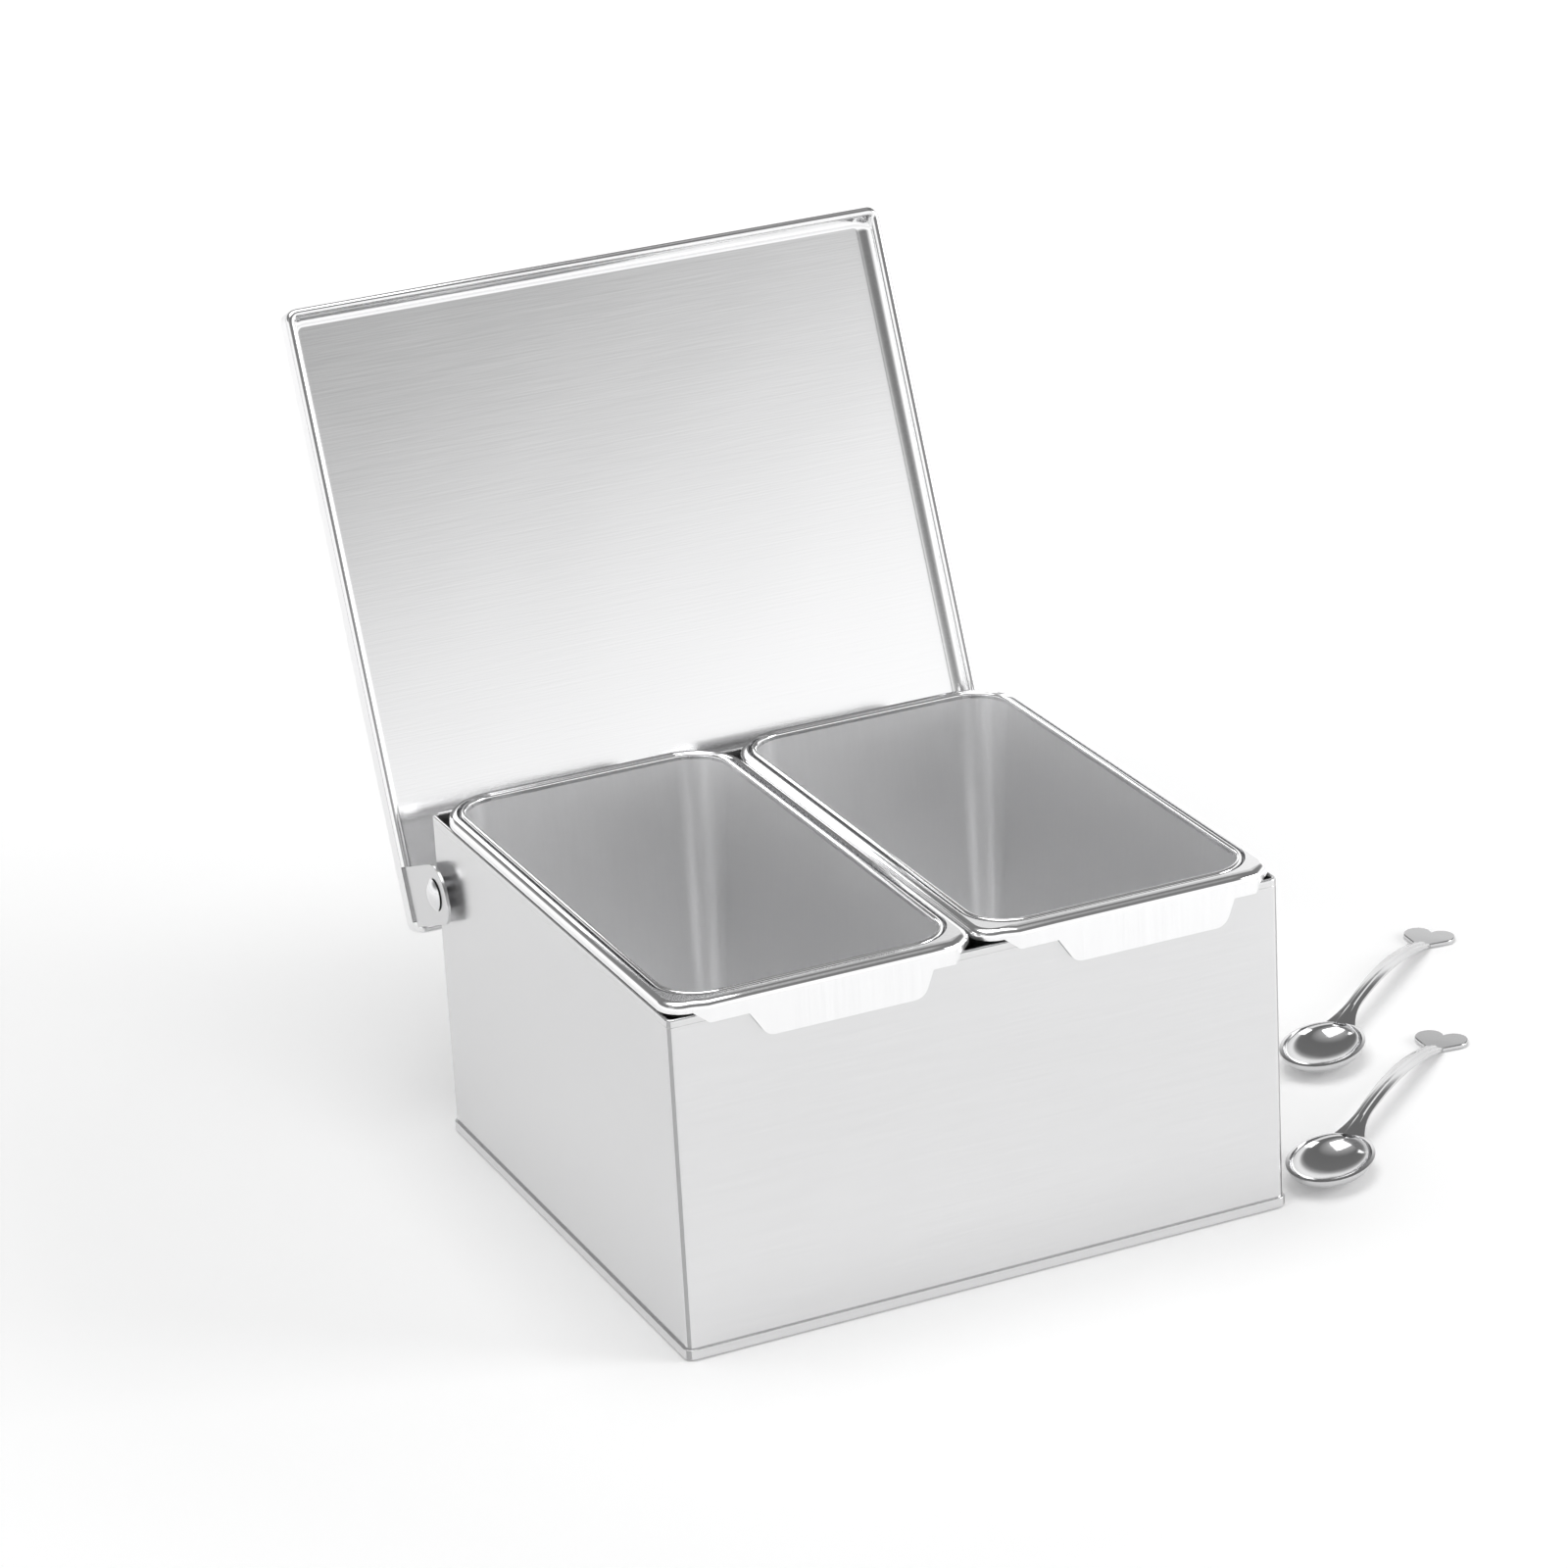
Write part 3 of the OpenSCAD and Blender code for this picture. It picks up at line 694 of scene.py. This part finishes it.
# %% [markdown]
# ## Rivets
#
# Each rivet is a turned form: a domed head outside the ear, the shank, and the flattened tail
# inside the case. Its profile is drawn from the axis to the axis and spun once round. The
# arc of the dome runs below the axis and the rest of the profile above it, so the strip that
# joins them crosses the axis inside the head. The mesh is closed, but a slit of about 0.3 mm
# is left round the rim of the head, and it can show as a fine dark line.

# %% Rivets
HEAD_TOP, HEAD_UNDER, WALL_INSIDE = 106, 103.8, CASE_X - SHEET
DOME_R, DOME_EDGE, HEAD_R, SHANK_R, TAIL_R = 7.975, 5.2, 5.45, 2.2, 4
DOME_SPAN = math.degrees(math.asin(DOME_EDGE / DOME_R))
DOME_END = HEAD_TOP - DOME_R + math.sqrt(DOME_R ** 2 - DOME_EDGE ** 2)


def rivet(name, side):
    profile = first_point(name, side * HEAD_TOP, PIVOT_Y, PIVOT_Z)
    spin(side * DOME_SPAN, Y_AXIS, side * (HEAD_TOP - DOME_R), PIVOT_Y, PIVOT_Z, 7)
    run(side * (HEAD_UNDER - DOME_END), 0, HEAD_R + DOME_EDGE)
    run(0, 0, SHANK_R - HEAD_R)
    run(side * (WALL_INSIDE - HEAD_UNDER), 0, 0)
    run(0, 0, TAIL_R - 0.2 - SHANK_R)
    run(-side * 0.3, 0, 0.2)
    run(-side * 0.6, 0, 0)
    run(-side * 0.3, 0, -0.4)
    run(0, 0, 0.4 - TAIL_R)
    take_all()
    spin(360, X_AXIS, 0, PIVOT_Y, PIVOT_Z, 40)
    weld(0.002)
    bpy.ops.mesh.normals_make_consistent(inside=False)
    bpy.ops.object.mode_set(mode="OBJECT")
    return profile


for name, side in (("left", -1), ("right", 1)):
    piece = rivet("domed_rivet_" + name, side)
    smooth(piece, 35)
    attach(piece, "case")
    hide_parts("rivet_" + name)
    print(count(piece))

# %% [markdown]
# ## Spoons
#
# A spoon is pressed from thicker sheet and polished. Its bowl starts as a ball that is
# squeezed to an egg and cut in half. Its handle is one section with a rib, pulled along an
# arch in short steps, wider at each step. Its end is a flat heart with soft edges.

# %% Spoon bowl
BOWL_X, BOWL_Y, BOWL_Z, SPOON_T = 18, 13.25, 6.5, 1.1
let_go()
bpy.ops.mesh.primitive_uv_sphere_add(segments=48, ring_count=24, radius=MM, enter_editmode=True,
                                     location=(0, 0, 0))
bowl = bpy.context.object
bowl.name = "bowl"
take_all()
bpy.ops.transform.resize(value=(BOWL_X, BOWL_Y, BOWL_Z), center_override=(0, 0, 0))
take_all()
bpy.ops.mesh.bisect(plane_co=(0, 0, 0), plane_no=(0, 0, 1), clear_outer=True)
take_all()
bpy.ops.transform.translate(value=metres(0, 0, BOWL_Z))
weld()
face_out(bowl, 0, 0, 0, (0, 0, -1))
thicken(bowl, SPOON_T)
print(count(bowl))

# %% [markdown]
# ### Handle
#
# The handle stands on an arch whose chord falls 5 mm from the bowl to the heart. Its section
# has thirteen sides: soft lower corners, a flat underside and a rib on top. It is pulled from
# step to step, turned with the arch and widened as it goes, so the neck at the bowl comes
# from the same rule as the rest.

# %% Spoon handle
HANDLE_X0, HANDLE_X1, HANDLE_STEPS = 16.4, 97.5, 40
NECK_W, NECK_END = 10.6, 0.2
HANDLE_W0, HANDLE_W1, HANDLE_T, RIB = 4.2, 6.5, 1.5, 0.45
DROP, ARCH = 5, 5
CHORD = math.hypot(HANDLE_X1 - HANDLE_X0, DROP)
ARCH_R = (CHORD * CHORD / 4 + ARCH * ARCH) / (2 * ARCH)
FALL = math.atan2(DROP, HANDLE_X1 - HANDLE_X0)


def arch_point(t):
    """Place and slope of the top of the handle at t, from 0 at the bowl to 1 at the heart."""
    half = math.asin(CHORD / 2 / ARCH_R)
    a = half - 2 * half * t
    along = CHORD / 2 - ARCH_R * math.sin(a)
    up = ARCH_R * math.cos(a) - (ARCH_R - ARCH)
    x = HANDLE_X0 + along * math.cos(FALL) + up * math.sin(FALL)
    z = BOWL_Z + 0.15 - along * math.sin(FALL) + up * math.cos(FALL)
    return x, z, a - FALL


def handle_width(t):
    """Wide where it leaves the bowl, narrow after the neck, a little wider at the heart."""
    width = HANDLE_W0 + (HANDLE_W1 - HANDLE_W0) * t
    if t < NECK_END:
        width += (NECK_W - width) * (1 - t / NECK_END) ** 2
    return width


x, z, slope = arch_point(0)
handle = first_point("handle", x, -HANDLE_W0 / 2, z - HANDLE_T + 0.3)
for dy, dz in ((0, 0.75), (0.35, 0.3), (0.9, 0.05), (0.3, RIB - 0.1), (0.55, 0.1), (0.55, -0.1),
               (0.3, 0.1 - RIB), (0.9, -0.05), (0.35, -0.3), (0, -0.75), (-0.35, -0.3), (-3.5, 0),
               (-0.35, 0.3)):
    run(0, dy, dz)
weld()
take_all()
bpy.ops.mesh.edge_face_add()
take_all()
bpy.ops.transform.resize(value=(1, NECK_W / HANDLE_W0, 1), center_override=metres(x, 0, z))
turn(-math.degrees(slope), "Y", x, 0, z)
for i in range(1, HANDLE_STEPS + 1):
    t0, t1 = (i - 1) / HANDLE_STEPS, i / HANDLE_STEPS
    xa, za, sa = arch_point(t0)
    xb, zb, sb = arch_point(t1)
    pull(xb - xa, 0, zb - za)
    turn(-math.degrees(sb - sa), "Y", xb, 0, zb)
    wider = handle_width(t1) / handle_width(t0)
    bpy.ops.transform.resize(value=(1, wider, 1), center_override=metres(xb, 0, zb))
take_all()
bpy.ops.mesh.normals_make_consistent(inside=False)
bpy.ops.object.mode_set(mode="OBJECT")
print(count(handle))

# %% [markdown]
# ### Heart-shaped end
#
# The outline runs along one straight side, round one lobe, and round the other lobe, whose
# end is joined to the tip by the fill. Both lobes turn by the same angle, from the side to
# the dip between them. The face is pulled up and its edges are bevelled.

# %% Spoon heart
HEART_TIP, HEART_L, HEART_W, HEART_T, HEART_SOFT, LOBE_R = 94.5, 15.5, 18, 1.5, 0.45, 4.85
lobe_x = HEART_TIP + HEART_L - LOBE_R
lobe_y = HEART_W / 2 - LOBE_R
reach = math.hypot(lobe_x - HEART_TIP, lobe_y)
side_angle = math.atan2(lobe_y, lobe_x - HEART_TIP) + math.asin(LOBE_R / reach)
side_length = math.sqrt(reach * reach - LOBE_R * LOBE_R)
lobe_turn = 180 + math.degrees(side_angle - math.acos(lobe_y / LOBE_R))
heart = first_point("heart", HEART_TIP, 0, 0)
run(side_length * math.cos(side_angle), -side_length * math.sin(side_angle), 0)
spin(lobe_turn, Z_AXIS, lobe_x, -lobe_y, 0, 16)
spin(lobe_turn, Z_AXIS, lobe_x, lobe_y, 0, 16)
weld(0.05)
take_all()
bpy.ops.mesh.edge_face_add()
take_all()
pull(0, 0, HEART_T)
take_all()
bpy.ops.mesh.normals_make_consistent(inside=False)
bpy.ops.object.mode_set(mode="OBJECT")
choose(heart, "EDGE", lambda ends: near(ends[0].z, ends[1].z))
bpy.ops.mesh.bevel(offset=HEART_SOFT * MM, segments=3, affect="EDGES")
bpy.ops.object.mode_set(mode="OBJECT")
print(count(heart))

# %% [markdown]
# ### Two spoons
#
# The spoons lie side by side on the surface to the right of the case, turned by 40 degrees.
# The front one lies further back along its own length and further to its own side.

# %% Two spoons
SPOON_TURN, SPOON_OUT, SPOON_FORE, SPOON_STEP, SPOON_PITCH = 40, 62, 8, 78, 31
ahead, aside = math.cos(math.radians(SPOON_TURN)), math.sin(math.radians(SPOON_TURN))
rear_place = (CASE_X + SPOON_OUT, -SPOON_FORE)
front_place = (rear_place[0] - SPOON_STEP * ahead + SPOON_PITCH * aside,
               rear_place[1] - SPOON_STEP * aside - SPOON_PITCH * ahead)
spoon_places = {"rear": rear_place, "front": front_place}
spoon = join("spoon", bowl, handle, heart)
smooth(spoon, 35)
bpy.ops.object.duplicate(linked=False)
spoon_pair = {"rear": spoon, "front": bpy.context.object}
for name, piece in spoon_pair.items():
    pick_up(piece)
    piece.name = "garnish_spoon_" + name
    piece.data.name = piece.name
    bpy.ops.object.mode_set(mode="EDIT")
    take_all()
    turn(SPOON_TURN, "Z", 0, 0, 0)
    bpy.ops.transform.translate(value=metres(*spoon_places[name], 0))
    bpy.ops.object.mode_set(mode="OBJECT")
    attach(piece, "spoon_" + name + "_body")
    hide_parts("spoon_" + name)
    print(count(piece))

# %% [markdown]
# ## Steel
#
# Stainless sheet is a mirror that has been scratched in one direction. The scratches are far
# finer than a pixel, so they widen the reflections across the grain, and only a few of them
# are seen as faint streaks. The finish is a metal with a medium-low roughness, and a stretched
# noise on object coordinates gives the streaks to colour, roughness and bump. A little
# non-metal share stands for the light that fine scratches scatter. A wave bends large
# reflections as thin sheet does, and a rim height makes all above it bright and smooth.

# %% Steel
def scaled(nodes, links, value, from_min, from_max, to_min, to_max):
    """Sends a value from one range to another and returns the socket of the result."""
    ruler = nodes.new("ShaderNodeMapRange")
    ruler.inputs["From Min"].default_value = from_min
    ruler.inputs["From Max"].default_value = from_max
    ruler.inputs["To Min"].default_value = to_min
    ruler.inputs["To Max"].default_value = to_max
    links.new(value, ruler.inputs["Value"])
    return ruler.outputs["Result"]


def steel(name, colour, rough, grain, streak=0.04, rough_spread=0.05, bump=0.02, wave=0.0,
          metal=1.0, rim=None):
    finish = bpy.data.materials.new(name)
    finish.use_nodes = True
    nodes, links = finish.node_tree.nodes, finish.node_tree.links
    surface = nodes["Principled BSDF"]
    surface.inputs["Metallic"].default_value = metal
    where = nodes.new("ShaderNodeTexCoord")
    stretch = nodes.new("ShaderNodeMapping")
    stretch.inputs["Scale"].default_value = grain
    links.new(where.outputs["Object"], stretch.inputs["Vector"])
    scratches = nodes.new("ShaderNodeTexNoise")
    scratches.inputs["Scale"].default_value = 1
    scratches.inputs["Detail"].default_value = 4
    scratches.inputs["Roughness"].default_value = 0.6
    links.new(stretch.outputs["Vector"], scratches.inputs["Vector"])
    depth = scratches.outputs["Fac"]
    tint = scaled(nodes, links, depth, 0.3, 0.7, 1 - streak, 1)
    mix = nodes.new("ShaderNodeMix")
    mix.data_type = "RGBA"
    mix.blend_type = "MULTIPLY"
    mix.inputs["Factor"].default_value = 1
    mix.inputs["A"].default_value = (*colour, 1)
    links.new(tint, mix.inputs["B"])
    links.new(mix.outputs["Result"], surface.inputs["Base Color"])
    polish = scaled(nodes, links, depth, 0.3, 0.7, rough, rough + rough_spread)
    links.new(polish, surface.inputs["Roughness"])
    if rim:
        height, rim_rough = rim
        spot = nodes.new("ShaderNodeSeparateXYZ")
        links.new(where.outputs["Object"], spot.inputs["Vector"])
        span = (spot.outputs["Z"], height * MM, (height + 1) * MM)
        smoother = scaled(nodes, links, *span, rough, rim_rough)
        links.new(polish, smoother.node.inputs["To Min"])
        links.new(smoother, surface.inputs["Roughness"])
        links.new(scaled(nodes, links, *span, metal, 1), surface.inputs["Metallic"])
    relief = nodes.new("ShaderNodeBump")
    relief.inputs["Strength"].default_value = bump
    relief.inputs["Distance"].default_value = 0.0002
    links.new(depth, relief.inputs["Height"])
    if wave:
        swell = nodes.new("ShaderNodeTexNoise")
        swell.inputs["Scale"].default_value = 14
        swell.inputs["Detail"].default_value = 1
        links.new(where.outputs["Object"], swell.inputs["Vector"])
        dents = nodes.new("ShaderNodeBump")
        dents.inputs["Strength"].default_value = wave
        dents.inputs["Distance"].default_value = 0.002
        links.new(swell.outputs["Fac"], dents.inputs["Height"])
        links.new(dents.outputs["Normal"], relief.inputs["Normal"])
    links.new(relief.outputs["Normal"], surface.inputs["Normal"])
    return finish


# %% [markdown]
# ### The finishes
#
# The grain says how often the noise repeats in a metre along x, y and z: a low number is the
# direction of brushing. The lid is brushed along its width, the case along its outline, and
# the pans are drawn and so streaked downwards. The inside of a pan is duller than its rim,
# the outside duller still. The groove is painted dark grey as painted shade, and the
# spacers are given a near-black colour.

# %% Finishes
case_finish = steel("case steel", (0.76, 0.76, 0.765), 0.19, (40, 40, 1600), metal=0.82)
lid_finish = steel("lid steel", (0.87, 0.87, 0.875), 0.09, (40, 1600, 1600), wave=0.05)
pan_finish = steel("pan steel", (0.95, 0.95, 0.955), 0.17, (900, 900, 40), metal=0.84,
                   rim=(110.5, 0.08))
satin_finish = steel("pan inside satin", (0.94, 0.94, 0.945), 0.35, (900, 900, 40), streak=0.02,
                     bump=0.006, metal=0.95)
body_finish = steel("pan body steel", (0.66, 0.66, 0.665), 0.27, (900, 900, 40), metal=0.92)
# The dark grey of the groove is painted shade.
groove_painted_shade = steel("groove painted shade", (0.3, 0.3, 0.31), 0.25, (900, 900, 900))
# The dark grey in the middle of each case bend is painted shade, drawn as a fine corner line.
fold_line_painted_shade = steel("fold painted shade", (0.42, 0.42, 0.425), 0.3, (900, 900, 40), metal=0.9)
ear_finish = steel("ear steel", (0.68, 0.68, 0.685), 0.2, (900, 120, 120))
# The spacers are given a near-black colour.
spacer_finish = steel("spacer steel", (0.14, 0.14, 0.145), 0.32, (900, 900, 900))
rivet_finish = steel("rivet steel", (0.80, 0.80, 0.81), 0.14, (600, 600, 600))
spoon_finish = steel("spoon steel", (0.64, 0.64, 0.645), 0.09, (300, 300, 300), streak=0.02,
                     rough_spread=0.02, bump=0.005)

# %% [markdown]
# ### Coats
#
# Most pieces get one finish. The pans get four: faces are told apart by how far they lie
# outside the opening, seen from above, and by which way they look. On the case the middle of
# each upright bend is painted darker and duller: painted shade that gives the corner its fine
# dark line.

# %% Coats
def coat(piece, finish):
    if not piece.data.materials:
        piece.data.materials.append(finish)
    for i in range(len(piece.material_slots)):
        piece.material_slots[i].material = finish


def outside_opening(p, middle):
    """How far a point lies outside the opening of a pan, seen from above."""
    dx, dy = abs(p.x - middle) - OPEN_X + OPEN_R, abs(p.y) - OPEN_Y + OPEN_R
    if dx > 0 and dy > 0:
        return math.hypot(dx, dy) - OPEN_R
    return max(dx, dy) - OPEN_R


def coat_chosen(piece, finish):
    piece.data.materials.append(finish)
    piece.active_material_index = len(piece.data.materials) - 1
    bpy.ops.object.material_slot_assign()
    bpy.ops.object.mode_set(mode="OBJECT")


def looks_in(spot, normal, middle):
    """True for a face that looks up or towards the middle of its pan."""
    if normal.z > 0.5:
        return True
    across = (middle - spot.x) * normal.x * OPEN_Y / OPEN_X
    along = -spot.y * normal.y * OPEN_X / OPEN_Y
    return normal.z > -0.1 and across + along > 0


def finish_pan(piece, middle):
    coat(piece, pan_finish)
    body = choose(piece, "FACE", lambda corners, normal: all(
        outside_opening(p, middle) < 1 and p.z < LIP_Z - 1 for p in corners))
    coat_chosen(piece, body_finish)
    inside = choose(piece, "FACE", lambda corners, normal: all(
        outside_opening(p, middle) < 0.1 and p.z < BODY_TOP + 0.1 for p in corners)
        and looks_in(corners[0], normal, middle))
    coat_chosen(piece, satin_finish)
    # The faces of the groove get the painted shade.
    groove = choose(piece, "FACE", lambda corners, normal: all(
        1.8 < outside_opening(p, middle) < 2.75 and p.z < FLAT_Z - 0.3 for p in corners)
        and normal.z > 0.1)
    coat_chosen(piece, groove_painted_shade)
    print(piece.name, "faces of the body:", body, "inside:", inside, "in the groove:", groove)


def on_fold(p):
    """True in the middle third of an upright corner bend of the case."""
    dx, dy = abs(p.x) - CASE_X + CASE_R, abs(p.y) - CASE_Y + CASE_R
    return dx > 0 and dy > 0 and 29 < math.degrees(math.atan2(dy, dx)) < 61


for piece in (case_walls, case_bottom):
    coat(piece, case_finish)
    # The middle third of each upright bend gets the painted shade.
    folds = choose(piece, "FACE", lambda corners, normal: abs(normal.z) < 0.5
                   and all(on_fold(p) for p in corners))
    coat_chosen(piece, fold_line_painted_shade)
    print(piece.name, "faces on the folds:", folds)
coat(lid, lid_finish)
for side in ("left", "right"):
    finish_pan(pan_pair[side], -PAN_APART if side == "left" else PAN_APART)
    coat(bpy.data.objects["hinge_ear_" + side], ear_finish)
    coat(bpy.data.objects["domed_rivet_" + side], rivet_finish)
    coat(frame["nodes"]["spacer_" + side], spacer_finish)
for piece in spoon_pair.values():
    coat(piece, spoon_finish)
print("finishes:", len(bpy.data.materials))

# %% [markdown]
# ## Table
#
# A pale table, 0.3 mm below the case so that the two don't share a plane. For the camera and
# for reflections it gives a little light of its own, more with the distance, so that it runs
# out into white and still keeps the shadows near the case.

# %% Table
let_go()
bpy.ops.mesh.primitive_plane_add(size=30, location=(0, 0, -0.0003))
table = bpy.context.object
table.name = "table"
paint = bpy.data.materials.new("table white")
paint.use_nodes = True
shade = paint.node_tree.nodes["Principled BSDF"]
shade.inputs["Base Color"].default_value = (0.93, 0.93, 0.93, 1)
shade.inputs["Roughness"].default_value = 0.6
shade.inputs["Specular IOR Level"].default_value = 0.2
shade.inputs["Emission Color"].default_value = (1, 1, 1, 1)
coats, wires = paint.node_tree.nodes, paint.node_tree.links
rays = coats.new("ShaderNodeLightPath")
spot = coats.new("ShaderNodeTexCoord")
away = coats.new("ShaderNodeVectorMath")
away.operation = "LENGTH"
lift = coats.new("ShaderNodeMath")
lift.operation = "MULTIPLY"
wires.new(spot.outputs["Object"], away.inputs[0])
fade = scaled(coats, wires, away.outputs["Value"], 0.25, 1.2, 0.12, 0.5)
shown = coats.new("ShaderNodeMath")
shown.operation = "MAXIMUM"
wires.new(rays.outputs["Is Camera Ray"], shown.inputs[0])
wires.new(rays.outputs["Is Glossy Ray"], shown.inputs[1])
wires.new(fade, lift.inputs[0])
wires.new(shown.outputs["Value"], lift.inputs[1])
wires.new(lift.outputs["Value"], shade.inputs["Emission Strength"])
coat(table, paint)

# %% [markdown]
# ## Studio light
#
# Three soft lamps: a large one above, which lights the table and the pans, a weak one to the
# left in front, and one to the right. The right one stands far enough round that the lid
# doesn't mirror it towards the camera, or else a third of the panel would burn out.

# %% Studio light
def soft_lamp(name, place, aim, width, height, watts):
    bpy.ops.object.light_add(type="AREA", location=place)
    lamp = bpy.context.object
    lamp.name = name
    lamp.data.shape = "RECTANGLE"
    lamp.data.size = width
    lamp.data.size_y = height
    lamp.data.energy = watts
    direction = [aim[i] - place[i] for i in range(3)]
    flat = math.hypot(direction[0], direction[1])
    lamp.rotation_euler = (math.atan2(flat, -direction[2]), 0,
                           math.atan2(direction[1], direction[0]) - math.pi / 2)
    return lamp


soft_lamp("lamp above", (-0.22, 0.0, 1.6), (0, 0, 0), 1.2, 1.4, 12)
soft_lamp("lamp left", (-1.7, -0.7, 1.0), (0, 0, 0.1), 0.8, 1.2, 0.6)
soft_lamp("lamp right", (1.65, -1.08, 0.9), (0, 0, 0.1), 0.8, 1.2, 14)

# %% [markdown]
# ### What the metal sees
#
# The world is brightest at the horizon, as a studio's white walls are, darker above them,
# and a little lighter again overhead. The tilted lid mirrors the height at which the walls
# grow darker, so its panel gets its gradient from there. To the right the bright part
# reaches higher, as beside a window. The camera sees plain white.

# %% World
world = bpy.data.worlds.new("studio")
bpy.context.scene.world = world
world.use_nodes = True
sky, wires = world.node_tree.nodes, world.node_tree.links
looking = sky.new("ShaderNodeTexCoord")
parts = sky.new("ShaderNodeSeparateXYZ")
side = sky.new("ShaderNodeMath")
side.operation = "MAXIMUM"
side.inputs[1].default_value = -0.5
tilt = sky.new("ShaderNodeMath")
tilt.operation = "MULTIPLY_ADD"
tilt.inputs[1].default_value = -0.18
height = sky.new("ShaderNodeValToRGB")
stops = height.color_ramp
levels = ((0.0, 1.0), (0.22, 1.22), (0.28, 1.15), (0.32, 0.82), (0.36, 0.48), (0.44, 0.22),
          (0.75, 0.2), (1.0, 0.7))
while len(stops.elements) < len(levels):
    stops.elements.new(0.5)
for stop, (place, level) in zip(stops.elements, levels):
    stop.position = place
    stop.color = (level, level, level, 1)
ground = sky["Background"]
wires.new(looking.outputs["Generated"], parts.inputs["Vector"])
wires.new(parts.outputs["X"], side.inputs[0])
wires.new(side.outputs["Value"], tilt.inputs[0])
wires.new(parts.outputs["Z"], tilt.inputs[2])
wires.new(tilt.outputs["Value"], height.inputs["Fac"])
wires.new(height.outputs["Color"], ground.inputs["Color"])
white = sky.new("ShaderNodeBackground")
white.inputs["Color"].default_value = (1, 1, 1, 1)
path = sky.new("ShaderNodeLightPath")
blend = sky.new("ShaderNodeMixShader")
wires.new(path.outputs["Is Camera Ray"], blend.inputs["Fac"])
wires.new(ground.outputs["Background"], blend.inputs[1])
wires.new(white.outputs["Background"], blend.inputs[2])
wires.new(blend.outputs["Shader"], sky["World Output"].inputs["Surface"])
bpy.context.scene.view_settings.view_transform = "Standard"

# %% [markdown]
# ## Last step
#
# Nothing is left selected at the end.

# %% Last step
let_go()
